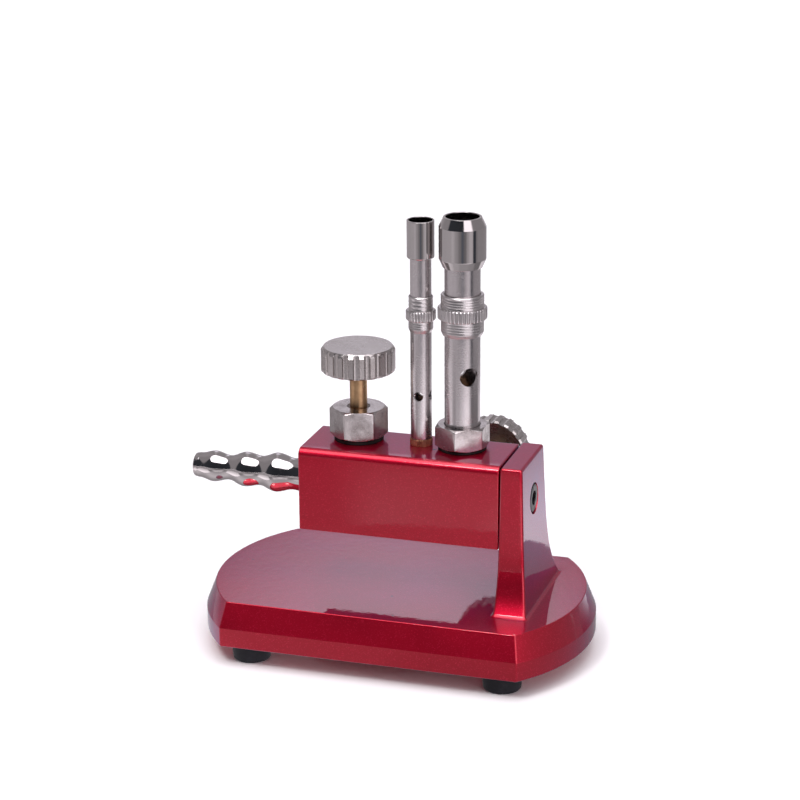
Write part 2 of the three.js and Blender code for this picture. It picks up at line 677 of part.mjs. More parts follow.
// A sliding air collar: a plain upper part, a knurled band and a slimmer lower part.
function airCollar({ top, length, bore, upper, band, lower, teeth, bandFrom, bandTo }) {
  const sleeve = turned([
    [0, top - length],
    [bore + 0.15, top - length],
    [lower, top - length + 1.1],
    [lower, top - bandTo],
    [upper, top - bandTo],
    [upper, top - 0.3],
    [upper - 0.3, top],
    [0, top],
  ], 28);
  const knurl = raised(flutedOutline(band, 0.3, teeth, [[0, 0], [0.5, 1]]), top - bandTo, top - bandFrom);
  return cut(join(sleeve, knurl), rod(bore, top - length - 1, top + 1, 28));
}

const largeCollar = airCollar({
  top: LARGE_COLLAR_TOP,
  length: LARGE_COLLAR_LENGTH,
  bore: LARGE_TUBE_RADIUS + RUNNING_GAP,
  upper: 6.3,
  band: 7.2,
  lower: 6.25,
  teeth: 36,
  bandFrom: 3.8,
  bandTo: 7.3,
});

// A gas jet: a threaded foot, a plain body and a conical tip with its orifice.
function jet({ bottom, bodyFrom, tip, footRadius, bodyRadius, tipRadius, orifice }) {
  return turned([
    [orifice, bottom],
    [footRadius, bottom],
    [footRadius, bodyFrom],
    [bodyRadius, bodyFrom],
    [bodyRadius, tip - 2 * bodyRadius],
    [tipRadius, tip],
    [orifice, tip],
  ], 14);
}

const largeJet = jet({
  bottom: LARGE_SOCKET_BOTTOM + 1,
  bodyFrom: LARGE_TUBE_BOTTOM,
  tip: LARGE_AIR_HOLE.z - 4.2,
  footRadius: 2.4 - THREAD_GAP,
  bodyRadius: 3.2,
  tipRadius: 1,
  orifice: 0.4,
});

const largeWasher = ring(LARGE_SOCKET_RADIUS + 0.1, 7.4, BLOCK_TOP + FACE_GAP, LARGE_NUT_BOTTOM - FACE_GAP);
add("large_burner_washer", largeWasher, fibre(), largeBurner);
add("large_burner_nut", largeNut(), nickel(), largeBurner);
add("large_burner_jet", largeJet, brass(), largeBurner);
add("large_burner_tube", largeTube(), nickel(), largeBurner);
add("large_burner_head", largeHead, nickel(), largeBurner);
add("large_air_collar", largeCollar, nickel(), largeBurner);

// ---- Small burner -------------------------------------------------------------------------

const smallBurner = new THREE.Group();
smallBurner.position.set(SMALL_BURNER_X, BORE_LINE_Y, 0);
laidOut.add(smallBurner);

const SMALL_RING_TOP = BLOCK_TOP + FACE_GAP + SMALL_RING_HEIGHT;
const SMALL_SPIGOT_TOP = SMALL_RING_TOP + 3;
const SMALL_HEAD_BOTTOM = SMALL_RIM_Z - 11.1;
const SMALL_JET_BORE = 1.15;

const smallRing = turned([
  [SMALL_JET_BORE, FEED_Z + 1.8],
  [SMALL_SOCKET_RADIUS - THREAD_GAP, FEED_Z + 1.8],
  [SMALL_SOCKET_RADIUS - THREAD_GAP, BLOCK_TOP + FACE_GAP],
  [3.35, BLOCK_TOP + FACE_GAP],
  [3.35, SMALL_RING_TOP],
  [SMALL_TUBE_BORE - THREAD_GAP, SMALL_RING_TOP],
  [SMALL_TUBE_BORE - THREAD_GAP, SMALL_SPIGOT_TOP],
  [SMALL_JET_BORE, SMALL_SPIGOT_TOP],
], 20);

const smallJet = jet({
  bottom: FEED_Z + 2.4,
  bodyFrom: SMALL_SPIGOT_TOP + FACE_GAP,
  tip: SMALL_AIR_HOLE.z - 2.4,
  footRadius: SMALL_JET_BORE - THREAD_GAP,
  bodyRadius: 1.6,
  tipRadius: 0.7,
  orifice: 0.3,
});

function smallTube() {
  const { z, radius } = SMALL_AIR_HOLE;
  const top = SMALL_RIM_Z - 9;
  const wall = ring(SMALL_TUBE_BORE, SMALL_TUBE_RADIUS, SMALL_RING_TOP + FACE_GAP, top, 28);
  const alongDepth = alongY(rod(radius, -6, 6, 16)).translate(0, 0, z);
  const alongWidth = alongX(rod(radius, -6, 6, 16)).translate(0, 0, z);
  return cut(wall, alongDepth, alongWidth);
}

const smallHead = turned([
  [3.5, SMALL_RIM_Z],
  [3.5, SMALL_HEAD_BOTTOM + 3.4],
  [SMALL_TUBE_RADIUS + THREAD_GAP, SMALL_HEAD_BOTTOM + 3.4],
  [SMALL_TUBE_RADIUS + THREAD_GAP, SMALL_HEAD_BOTTOM],
  [3.8, SMALL_HEAD_BOTTOM],
  [4, SMALL_HEAD_BOTTOM + 0.3],
  [4, SMALL_RIM_Z],
], 28);

const smallCollar = airCollar({
  top: SMALL_RIM_Z - 22.3,
  length: 10.8,
  bore: SMALL_TUBE_RADIUS + RUNNING_GAP,
  upper: 3.58,
  band: 4.38,
  lower: 3.64,
  teeth: 28,
  bandFrom: 4.2,
  bandTo: 7.2,
});

add("small_burner_ring", smallRing, brass(), smallBurner);
add("small_burner_jet", smallJet, brass(), smallBurner);
add("small_burner_tube", smallTube(), nickel(), smallBurner);
add("small_burner_head", smallHead, nickel(), smallBurner);
add("small_air_collar", smallCollar, nickel(), smallBurner);

// ---- The part's own frame -----------------------------------------------------------------

torch.updateMatrixWorld(true);
const box = new THREE.Box3().setFromObject(laidOut, true);
laidOut.position.set(-(box.min.x + box.max.x) / 2, -(box.min.y + box.max.y) / 2, -box.min.z);

export default torch;
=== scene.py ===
"""Double-burner desktop gas torch: the looks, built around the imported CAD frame."""

import json
import math

import bmesh
import bpy
from mathutils import Matrix, Vector


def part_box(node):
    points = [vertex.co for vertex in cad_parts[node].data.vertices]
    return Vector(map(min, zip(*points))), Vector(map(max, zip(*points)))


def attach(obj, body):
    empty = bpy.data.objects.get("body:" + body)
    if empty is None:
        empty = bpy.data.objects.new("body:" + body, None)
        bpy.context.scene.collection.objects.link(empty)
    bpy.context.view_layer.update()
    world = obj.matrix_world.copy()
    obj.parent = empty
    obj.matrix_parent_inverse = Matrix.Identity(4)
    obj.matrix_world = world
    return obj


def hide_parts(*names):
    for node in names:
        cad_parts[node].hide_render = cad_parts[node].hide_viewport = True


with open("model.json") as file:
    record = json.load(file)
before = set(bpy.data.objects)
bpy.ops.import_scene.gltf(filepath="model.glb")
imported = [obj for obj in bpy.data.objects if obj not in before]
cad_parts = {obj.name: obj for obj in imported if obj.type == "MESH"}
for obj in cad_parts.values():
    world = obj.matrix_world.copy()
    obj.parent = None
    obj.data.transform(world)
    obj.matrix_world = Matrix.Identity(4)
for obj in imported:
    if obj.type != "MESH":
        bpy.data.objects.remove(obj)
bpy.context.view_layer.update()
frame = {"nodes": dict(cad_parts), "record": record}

MM = 0.001
UP = Vector((0, 0, 1))
BACK = Vector((0, 1, 0))
RIGHT = Vector((1, 0, 0))
LEFT = Vector((-1, 0, 0))


# ---- Places taken from the frame ------------------------------------------------------------

def middle(node):
    low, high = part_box(node)
    return (low + high) / 2


BLOCK_LOW, BLOCK_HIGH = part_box("gas_block")
# The tilt axis at the block's right end: heights and lengths below are counted from here.
AXIS = Vector((BLOCK_HIGH.x, middle("gas_block").y, middle("gas_block").z))
BLOCK_TOP = (BLOCK_HIGH.z - AXIS.z) / MM
BLOCK_BACK = (BLOCK_HIGH.y - AXIS.y) / MM
BLOCK_LENGTH = (BLOCK_HIGH.x - BLOCK_LOW.x) / MM


def from_axis(point):
    """A point in metres in the row frame, as millimetres from the tilt axis."""
    return (point - AXIS) / MM


def at(x, y, z):
    """Millimetres from the tilt axis, as a point in metres in the row frame."""
    return AXIS + Vector((x, y, z)) * MM


def away(azimuth, elevation):
    """A direction by its azimuth from the front, right positive, and its elevation, in degrees."""
    turn, rise = math.radians(azimuth), math.radians(elevation)
    return Vector((math.sin(turn) * math.cos(rise), -math.cos(turn) * math.cos(rise), math.sin(rise)))


# ---- Mesh helpers ---------------------------------------------------------------------------

SHARP = 35
MERGE_DISTANCE = 1e-6


def new_object(name, vertices, faces, material, sharp=SHARP):
    """A mesh object from millimetre vertices, smooth except where faces meet at a sharp angle."""
    mesh = bpy.data.meshes.new(name)
    mesh.from_pydata([Vector(v) * MM for v in vertices], [], faces)
    return finish_mesh(name, mesh, material, sharp)


def finish_mesh(name, mesh, material, sharp=SHARP):
    """Merges doubles, turns the faces outward, marks edges over the sharp angle and makes the object."""
    work = bmesh.new()
    work.from_mesh(mesh)
    bmesh.ops.remove_doubles(work, verts=work.verts, dist=MERGE_DISTANCE)
    bmesh.ops.recalc_face_normals(work, faces=work.faces)
    work.to_mesh(mesh)
    work.free()
    mesh.shade_smooth()
    mesh.set_sharp_from_angle(angle=math.radians(sharp))
    mesh.materials.clear()
    mesh.materials.append(material)
    piece = bpy.data.objects.new(name, mesh)
    bpy.context.scene.collection.objects.link(piece)
    return piece


def point_z_along(piece, place, direction):
    """Puts the piece's origin at a place and its local Z along a direction."""
    turn = UP.rotation_difference(direction).to_matrix().to_4x4()
    piece.matrix_world = Matrix.Translation(place) @ turn
    return piece


def between(first, second, share):
    return tuple(a + (b - a) * share for a, b in zip(first, second))


def rounded(corners, steps=6):
    """A closed outline of (a, b) or (a, b, radius) corners, with the given corners rounded."""
    outline = []
    count = len(corners)
    for i, corner in enumerate(corners):
        here = Vector(corner[:2])
        radius = corner[2] if len(corner) > 2 else 0
        before = Vector(corners[i - 1][:2]) - here
        after = Vector(corners[(i + 1) % count][:2]) - here
        if radius <= 0 or before.length == 0 or after.length == 0:
            outline.append(tuple(here))
            continue
        half = before.angle(after) / 2
        reach = min(radius / math.tan(half), 0.49 * before.length, 0.49 * after.length)
        radius = reach * math.tan(half)
        start = here + before.normalized() * reach
        end = here + after.normalized() * reach
        inward = (before.normalized() + after.normalized()).normalized()
        centre = here + inward * (radius / math.sin(half))
        first = start - centre
        swing = first.angle_signed(end - centre)
        for k in range(steps + 1):
            angle = -swing * k / steps
            turned_by = Vector((
                first.x * math.cos(angle) - first.y * math.sin(angle),
                first.x * math.sin(angle) + first.y * math.cos(angle),
            ))
            outline.append(tuple(centre + turned_by))
    return outline


def subdivided(outline, longest):
    """The same closed outline with no edge longer than a given length."""
    points = []
    for i, here in enumerate(outline):
        after = outline[(i + 1) % len(outline)]
        length = math.dist(here, after)
        parts = max(1, math.ceil(length / longest))
        for k in range(parts):
            points.append(between(here, after, k / parts))
    return points


def round_steps(count=96):
    return [(2 * math.pi * i / count, math.inf) for i in range(count)]


def lathe(name, profile, material, steps=None, sharp=SHARP):
    """A closed (radius, height) profile turned about Z. steps holds (angle, largest radius) pairs."""
    steps = steps or round_steps()
    count = len(steps)
    vertices, rings = [], []
    for radius, height in profile:
        if radius < MERGE_DISTANCE:
            rings.append([len(vertices)] * count)
            vertices.append((0, 0, height))
            continue
        rings.append(range(len(vertices), len(vertices) + count))
        for angle, limit in steps:
            reach = min(radius, limit)
            vertices.append((reach * math.cos(angle), reach * math.sin(angle), height))
    faces = []
    for i, ring in enumerate(rings):
        other = rings[(i + 1) % len(rings)]
        for k in range(count):
            n = (k + 1) % count
            corners = [ring[k], ring[n], other[n], other[k]]
            unique = list(dict.fromkeys(corners))
            if len(unique) > 2:
                faces.append(unique)
    return new_object(name, vertices, faces, material, sharp)


def hexagon_steps(across_flats, first_corner, corner_radius=0.35, flat_parts=10, corner_parts=4):
    """Angles and radii of a hexagon with slightly rounded corners."""
    half = across_flats / 2
    centre = (half - corner_radius) / math.cos(math.pi / 6)
    tangent = math.atan2(centre * 0.5, half)
    steps = []
    for side in range(6):
        flat = first_corner + math.pi / 6 + side * math.pi / 3
        for k in range(flat_parts + 1):
            angle = -tangent + 2 * tangent * k / flat_parts
            steps.append((flat + angle, half / math.cos(angle)))
        corner = flat + math.pi / 6
        for k in range(1, corner_parts):
            swing = (-1 + 2 * k / corner_parts) * math.pi / 6
            x = centre + corner_radius * math.cos(swing)
            y = corner_radius * math.sin(swing)
            steps.append((corner + math.atan2(y, x), math.hypot(x, y)))
    return steps


def fluted_steps(radius, depth, flutes, parts, phase=0, ridge=0.12, flat=0.8):
    """Angles and radii of flutes between flat-topped ridges. A small flat makes a channel's floor level."""
    steps = []
    pitch = 2 * math.pi / flutes
    for flute in range(flutes):
        start = phase + flute * pitch
        steps.append((start - ridge * pitch / 2, radius))
        for k in range(parts):
            share = k / parts
            angle = start + pitch * (ridge / 2 + (1 - ridge) * share)
            steps.append((angle, radius - depth * math.sin(math.pi * share) ** flat))
    return steps


def cutter(profile, place, direction, count=64, steps=None):
    tool = lathe("cutter", profile, None, steps or round_steps(count))
    return point_z_along(tool, place, direction)


def rod_cutter(radius, low, high, place, direction, count=64):
    return cutter([(0, low), (radius, low), (radius, high), (0, high)], place, direction, count)


def carve(piece, tools, operation="DIFFERENCE", sharp=SHARP):
    """Cuts the tools out of the piece, or joins them to it, and keeps the result as its mesh."""
    for tool in tools:
        change = piece.modifiers.new("carve", "BOOLEAN")
        change.operation = operation
        change.solver = "EXACT"
        change.object = tool
    bpy.context.view_layer.update()
    shaped = piece.evaluated_get(bpy.context.evaluated_depsgraph_get())
    mesh = bpy.data.meshes.new_from_object(shaped)
    piece.modifiers.clear()
    material = piece.data.materials[0]
    piece.data = mesh
    mesh.materials.clear()
    mesh.materials.append(material)
    mesh.shade_smooth()
    mesh.set_sharp_from_angle(angle=math.radians(sharp))
    for tool in tools:
        bpy.data.objects.remove(tool)
    return piece


def weigh_normals(piece):
    """Flat faces keep their flat shading right up to the rounded edges."""
    change = piece.modifiers.new("weigh", "WEIGHTED_NORMAL")
    change.mode = "FACE_AREA"
    change.keep_sharp = True
    bpy.context.view_layer.update()
    shaped = piece.evaluated_get(bpy.context.evaluated_depsgraph_get())
    mesh = bpy.data.meshes.new_from_object(shaped)
    piece.modifiers.clear()
    piece.data = mesh


def stand_for(piece, body, slot, *nodes):
    """The piece rides on a body and shows in place of CAD nodes. The slot is not used."""
    weigh_normals(piece)
    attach(piece, body)
    if nodes:
        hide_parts(*nodes)
    return piece


# ---- Material helpers -----------------------------------------------------------------------

class Nodes:
    """A short way to write a material's node tree."""

    def __init__(self, name):
        self.material = bpy.data.materials.new(name)
        self.material.use_nodes = True
        self.tree = self.material.node_tree
        self.shader = self.tree.nodes["Principled BSDF"]
        self.place = self.add("ShaderNodeTexCoord").outputs["Object"]

    def add(self, kind, **values):
        node = self.tree.nodes.new(kind)
        for key, value in values.items():
            setattr(node, key, value)
        return node

    def link(self, source, target):
        self.tree.links.new(source, target)

    def put(self, socket, value):
        if isinstance(value, bpy.types.NodeSocket):
            self.link(value, socket)
        else:
            socket.default_value = value

    def noise(self, source, scale, detail=2.0, roughness=0.5):
        node = self.add("ShaderNodeTexNoise")
        self.link(source, node.inputs["Vector"])
        node.inputs["Scale"].default_value = scale
        node.inputs["Detail"].default_value = detail
        node.inputs["Roughness"].default_value = roughness
        return node.outputs["Fac"]

    def cells(self, source, scale, output="Distance"):
        node = self.add("ShaderNodeTexVoronoi", feature="F1")
        self.link(source, node.inputs["Vector"])
        node.inputs["Scale"].default_value = scale
        return node.outputs[output]

    def math(self, operation, first, second=0.0):
        node = self.add("ShaderNodeMath", operation=operation)
        self.put(node.inputs[0], first)
        self.put(node.inputs[1], second)
        return node.outputs[0]

    def span(self, value, low, high, to_low=0.0, to_high=1.0):
        node = self.add("ShaderNodeMapRange")
        self.link(value, node.inputs["Value"])
        node.inputs["From Min"].default_value = low
        node.inputs["From Max"].default_value = high
        node.inputs["To Min"].default_value = to_low
        node.inputs["To Max"].default_value = to_high
        return node.outputs["Result"]

    def mix(self, share, first, second):
        node = self.add("ShaderNodeMix", data_type="RGBA")
        self.put(node.inputs["Factor"], share)
        for socket, value in ((node.inputs[6], first), (node.inputs[7], second)):
            self.put(socket, value if isinstance(value, bpy.types.NodeSocket) else (*value, 1.0))
        return node.outputs[2]

    def bump(self, height, strength, distance):
        node = self.add("ShaderNodeBump")
        self.link(height, node.inputs["Height"])
        node.inputs["Strength"].default_value = strength
        node.inputs["Distance"].default_value = distance
        return node.outputs["Normal"]

    def set(self, **values):
        for key, value in values.items():
            self.put(self.shader.inputs[key.replace("_", " ")], value)
        return self.material

    def edge_wear(self, radius):
        """1 on convex edges, fading to 0 on flat faces."""
        node = self.add("ShaderNodeBevel", samples=6)
        node.inputs["Radius"].default_value = radius
        geometry = self.add("ShaderNodeNewGeometry")
        dot = self.add("ShaderNodeVectorMath", operation="DOT_PRODUCT")
        self.link(node.outputs["Normal"], dot.inputs[0])
        self.link(geometry.outputs["Normal"], dot.inputs[1])
        return self.span(dot.outputs["Value"], 0.999, 0.93)


def turned_lines(nodes, pitch, jitter=40.0):
    """Fine tool lines round local Z: they vary with radius and height and hardly round the turn."""
    parts = nodes.add("ShaderNodeSeparateXYZ")
    nodes.link(nodes.place, parts.inputs[0])
    x, y, z = parts.outputs
    radius = nodes.math("SQRT", nodes.math("ADD", nodes.math("MULTIPLY", x, x), nodes.math("MULTIPLY", y, y)))
    join = nodes.add("ShaderNodeCombineXYZ")
    nodes.link(nodes.math("MULTIPLY", radius, 1 / pitch), join.inputs[0])
    nodes.link(nodes.math("MULTIPLY", z, 1 / pitch), join.inputs[1])
    nodes.link(nodes.math("MULTIPLY", nodes.math("ADD", x, y), jitter), join.inputs[2])
    return nodes.noise(join.outputs[0], 1.0, detail=3.0, roughness=0.6)


# ---- Materials ------------------------------------------------------------------------------

def candy_paint():
    """Deep red metallic flake under a thick, slightly rippled clear coat."""
    n = Nodes("candy_red_paint")
    cloud = n.noise(n.place, 45.0, detail=3.0)
    flake = n.add("ShaderNodeSeparateColor")
    n.link(n.cells(n.place, 3800.0, output="Color"), flake.inputs[0])
    deep = n.mix(cloud, (0.435, 0.0026, 0.019), (0.51, 0.0038, 0.025))
    sparkle = n.math("MULTIPLY", n.span(flake.outputs[0], 0.80, 1.0), 0.30)
    colour = n.mix(sparkle, deep, (0.95, 0.040, 0.10))
    chips = n.span(n.cells(n.place, 70.0), 0.046, 0.034)
    colour = n.mix(n.math("MULTIPLY", chips, 0.85), colour, (0.030, 0.003, 0.006))
    rough = n.span(cloud, 0.3, 0.7, 0.38, 0.46)
    flake_bump = n.bump(flake.outputs[1], 0.25, 0.00003)
    peel = n.noise(n.place, 620.0, detail=2.0)
    nibs = n.span(n.cells(n.place, 55.0), 0.018, 0.004)
    coat_height = n.math("ADD", n.math("MULTIPLY", peel, 0.35), n.math("MULTIPLY", nibs, 0.6))
    coat_bump = n.bump(coat_height, 0.13, 0.00025)
    return n.set(
        Base_Color=colour, Metallic=0.9, Roughness=rough, Normal=flake_bump,
        Specular_Tint=(0.03, 0.50, 1.0, 1),
        Coat_Weight=1.0, Coat_Roughness=0.02, Coat_IOR=1.45, Coat_Normal=coat_bump,
    )


def plated(name, base, rough_low, rough_high, line_pitch, line_strength, stain_and_shade_share=0.25, dirt_and_shade_level=0.80):
    """Nickel plate over turned metal: tool lines, cloudy roughness, small pits and finger haze, whose
    darkening also paints shade when it is set strong.
    """
    n = Nodes(name)
    lines = turned_lines(n, line_pitch)
    haze = n.noise(n.place, 160.0, detail=5.0, roughness=0.62)
    pits = n.span(n.cells(n.place, 420.0), 0.06, 0.02)
    # The darker colour under the haze is dirt, and at a strong setting painted shade as well.
    dirt_and_shade_colour = tuple(channel * share for channel, share in zip(base, (dirt_and_shade_level, dirt_and_shade_level * 0.93, dirt_and_shade_level * 0.90)))
    colour = n.mix(n.math("MULTIPLY", n.span(haze, 0.45, 0.75), stain_and_shade_share), base, dirt_and_shade_colour)
    colour = n.mix(n.math("MULTIPLY", pits, 0.35), colour, tuple(channel * 0.35 for channel in base))
    blend = n.math("ADD", n.math("MULTIPLY", haze, 0.7), n.math("MULTIPLY", lines, 0.3))
    rough = n.span(blend, 0.35, 0.65, rough_low, rough_high)
    height = n.math("ADD", lines, n.math("MULTIPLY", pits, -0.6))
    normal = n.bump(height, line_strength, 0.00004)
    return n.set(Base_Color=colour, Metallic=1.0, Roughness=rough, Normal=normal)


def aged_brass():
    n = Nodes("aged_brass")
    lines = turned_lines(n, 0.00022)
    haze = n.noise(n.place, 260.0, detail=5.0, roughness=0.65)
    colour = n.mix(n.span(haze, 0.35, 0.7), (0.55, 0.36, 0.20), (0.34, 0.20, 0.105))
    rough = n.span(haze, 0.3, 0.7, 0.24, 0.42)
    return n.set(Base_Color=colour, Metallic=1.0, Roughness=rough, Normal=n.bump(lines, 0.35, 0.00005))


def brass_with_painted_red_reflection():
    """The pilot burner's foot ring: brass made darker and browner than the valve stems, a painted reflection
    of the red block.
    """
    n = Nodes("brass_with_painted_red_reflection")
    haze = n.noise(n.place, 500.0, detail=4.0)
    colour = n.mix(n.span(haze, 0.35, 0.7), (0.48, 0.25, 0.15), (0.22, 0.11, 0.07))
    return n.set(Base_Color=colour, Metallic=0.9, Roughness=n.span(haze, 0.3, 0.7, 0.32, 0.5),
                 Normal=n.bump(haze, 0.3, 0.00008))


def black_oxide():
    n = Nodes("black_oxide_steel")
    haze = n.noise(n.place, 700.0, detail=4.0)
    wear = n.math("MULTIPLY", n.edge_wear(0.00025), n.span(haze, 0.4, 0.6))
    colour = n.mix(wear, (0.022, 0.024, 0.027), (0.20, 0.20, 0.20))
    return n.set(Base_Color=colour, Metallic=0.9, Roughness=n.span(haze, 0.3, 0.7, 0.28, 0.45),
                 Normal=n.bump(haze, 0.2, 0.00005))


def moulded_rubber():
    n = Nodes("moulded_rubber")
    grain = n.noise(n.place, 2600.0, detail=3.0)
    dust = n.noise(n.place, 260.0, detail=5.0, roughness=0.7)
    colour = n.mix(n.span(dust, 0.5, 0.75), (0.006, 0.006, 0.010), (0.020, 0.020, 0.028))
    return n.set(Base_Color=colour, Roughness=n.span(dust, 0.3, 0.7, 0.52, 0.72), Specular_IOR_Level=0.35,
                 Normal=n.bump(grain, 0.25, 0.00008))


# Near black: the washers under the nuts are fibre washers whose colour also paints the contact shade beneath
# the nuts.
def fibre_with_painted_contact_shade():
    n = Nodes("fibre_with_painted_contact_shade")
    grain = n.noise(n.place, 1800.0, detail=4.0)
    colour = n.mix(grain, (0.006, 0.0055, 0.0055), (0.018, 0.016, 0.015))
    return n.set(Base_Color=colour, Roughness=0.8, Specular_IOR_Level=0.15, Normal=n.bump(grain, 0.4, 0.0001))


def pale_floor():
    n = Nodes("pale_floor")
    grain = n.noise(n.place, 60.0, detail=2.0)
    return n.set(Base_Color=n.mix(grain, (0.93, 0.93, 0.935), (0.95, 0.95, 0.95)), Roughness=0.8)


PAINT = candy_paint()
SATIN = plated("satin_nickel", (0.54, 0.51, 0.51), 0.18, 0.30, 0.00016, 0.35)
# The nuts' dark blotches are partly grime and partly painted shade for their darker facets.
NUT_DIRT_AND_PAINTED_SHADE = plated("nut_dirt_and_painted_shade_nickel", (0.50, 0.46, 0.455), 0.14, 0.30, 0.00020, 0.35, stain_and_shade_share=0.9, dirt_and_shade_level=0.40)
WORN = plated("worn_nickel", (0.49, 0.455, 0.445), 0.18, 0.32, 0.00018, 0.35, stain_and_shade_share=0.45, dirt_and_shade_level=0.62)
SMOOTH = plated("drawn_nickel", (0.60, 0.56, 0.565), 0.20, 0.30, 0.00020, 0.14, stain_and_shade_share=0.2)
POLISHED = plated("polished_nickel", (0.54, 0.51, 0.505), 0.05, 0.11, 0.00030, 0.10, stain_and_shade_share=0.15)
GRITTY = plated("gritty_nickel", (0.55, 0.52, 0.52), 0.24, 0.40, 0.00030, 0.6)
BRASS = aged_brass()
BRASS_WITH_PAINTED_RED_REFLECTION = brass_with_painted_red_reflection()
BLACK_STEEL = black_oxide()
RUBBER = moulded_rubber()
FIBRE_WITH_CONTACT_SHADE = fibre_with_painted_contact_shade()


# ---- Base casting: bevelled plate and flared post -------------------------------------------

BASE_LOW, BASE_HIGH = (from_axis(corner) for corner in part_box("base_casting"))
BASE_TOP = -30.0
BEVEL_OUT = 2.9
BEVEL_DOWN = 7.3
BASE_BOTTOM = BASE_LOW.z
BASE_MIDDLE = Vector(((BASE_LOW.x + BASE_HIGH.x) / 2, 0, 0))
HALF_DEPTH = BASE_HIGH.y - BEVEL_OUT
END_BULGE = 12.0
HALF_CHORD = (BASE_HIGH.x - BASE_LOW.x) / 2 - BEVEL_OUT - END_BULGE
PLAN_CORNER = 0.9
SKIN = 4.5
SOLID_FROM = -4.0


def plan_loop(grow, corner=PLAN_CORNER, line_parts=12, corner_parts=5, arc_parts=44):
    """The base's outline, grown outward: straight front and back, an arc at each end."""
    end_radius = (HALF_DEPTH ** 2 + END_BULGE ** 2) / (2 * END_BULGE)
    arc_x = HALF_CHORD + END_BULGE - end_radius
    half, radius = HALF_DEPTH + grow, end_radius + grow
    corner_x = arc_x + math.sqrt((radius - corner) ** 2 - (half - corner) ** 2)
    limit = math.atan2(half - corner, corner_x - arc_x)
    quarter = []
    for k in range(line_parts // 2):
        quarter.append((corner_x * k / (line_parts // 2), half))
    for k in range(corner_parts):
        angle = math.pi / 2 + (limit - math.pi / 2) * k / corner_parts
        quarter.append((corner_x + corner * math.cos(angle), half - corner + corner * math.sin(angle)))
    for k in range(arc_parts // 2):
        angle = limit * (1 - k / (arc_parts // 2))
        quarter.append((arc_x + radius * math.cos(angle), radius * math.sin(angle)))
    middle_point = [(arc_x + radius, 0.0)]
    right = quarter + middle_point + [(x, -y) for x, y in reversed(quarter[1:])]
    left = [(-x, y) for x, y in right]
    loop = right + [(0.0, -half)] + list(reversed(left[1:]))
    return [(BASE_MIDDLE.x + x, y) for x, y in loop]


POST_LEFT = 0.45
POST_RIGHT = 7.0
POST_HALF_DEPTH = 12.4
POST_EDGE = 0.8
POST_FILLET = 0.8


def post_section(share):
    """Left x, right x and half depth of the post, from share 0 at its top to 1 at the base."""
    right = POST_RIGHT + 1.5 * share + 1.9 * share ** 5
    half = POST_HALF_DEPTH + 2.3 * share + 5.5 * share ** 6
    return POST_LEFT, right, half


def rectangle_loop(left, right, front, back, radii, side_parts=8, corner_parts=5):
    """A rounded rectangle, counter-clockwise from its right back corner; one radius for each corner."""
    right_back, left_back, left_front, right_front = radii
    corners = [
        (right - right_back, back - right_back, 0, right_back),
        (left + left_back, back - left_back, 90, left_back),
        (left + left_front, front + left_front, 180, left_front),
        (right - right_front, front + right_front, 270, right_front),
    ]
    arcs = []
    for x, y, start, radius in corners:
        arc = []
        for k in range(corner_parts + 1):
            angle = math.radians(start + 90 * k / corner_parts)
            arc.append((x + radius * math.cos(angle), y + radius * math.sin(angle)))
        arcs.append(arc)
    loop = []
    for i, arc in enumerate(arcs):
        loop += arc
        following = arcs[(i + 1) % 4][0]
        for k in range(1, side_parts):
            loop.append(between(arc[-1], following, k / side_parts))
    return loop


def add_loop(work, loop, height):
    return [work.verts.new(Vector((x, y, height)) * MM) for x, y in loop]


def bridge(work, first, second):
    count = len(first)
    for k in range(count):
        n = (k + 1) % count
        work.faces.new((first[k], first[n], second[n], second[k]))


def post_loops():
    """(loop, height) pairs from the foot of the post's fillet up to its top face."""
    loops = []
    fall = BLOCK_TOP - BASE_TOP

    def add(height, out, radius):
        left, right, half = post_section((BLOCK_TOP - height) / fall)
        loop = rectangle_loop(left - out, right + out, -half - out, half + out, [radius] * 4)
        loops.append((loop, height))

    for k in range(6):
        angle = math.radians(90 * k / 6)
        out = POST_FILLET * (1 - math.sin(angle))
        add(BASE_TOP + POST_FILLET * (1 - math.cos(angle)), out, POST_EDGE + out)
    low = BASE_TOP + POST_FILLET
    high = BLOCK_TOP - POST_EDGE
    for k in range(25):
        add(low + (high - low) * k / 24, 0, POST_EDGE)
    for k in range(1, 6):
        angle = math.radians(90 * k / 5)
        inset = POST_EDGE * 0.95 * (1 - math.cos(angle))
        add(BLOCK_TOP - POST_EDGE * (1 - math.sin(angle)), -inset, POST_EDGE - inset)
    return loops


def cast_body():
    """The plate's outside and the post as one skin, closed underneath."""
    work = bmesh.new()
    edge = rounded([
        (-3.0, BASE_TOP),
        (0, BASE_TOP, 0.3),
        (BEVEL_OUT, BASE_TOP - BEVEL_DOWN, 0.5),
        (BEVEL_OUT, BASE_BOTTOM, 0.6),
        (-2.0, BASE_BOTTOM),
    ], steps=5)
    rings = [add_loop(work, plan_loop(grow), height) for grow, height in edge]
    for first, second in zip(rings, rings[1:]):
        bridge(work, first, second)
    work.faces.new(rings[-1])
    post = [add_loop(work, loop, height) for loop, height in post_loops()]
    for first, second in zip(post, post[1:]):
        bridge(work, first, second)
    work.faces.new(post[-1])
    work.edges.ensure_lookup_table()
    borders = [edge for edge in work.edges if edge.is_boundary]
    bmesh.ops.triangle_fill(work, use_beauty=True, use_dissolve=False, edges=borders)
    mesh = bpy.data.meshes.new("base_body")
    work.to_mesh(mesh)
    work.free()
    return finish_mesh("base_body", mesh, PAINT)


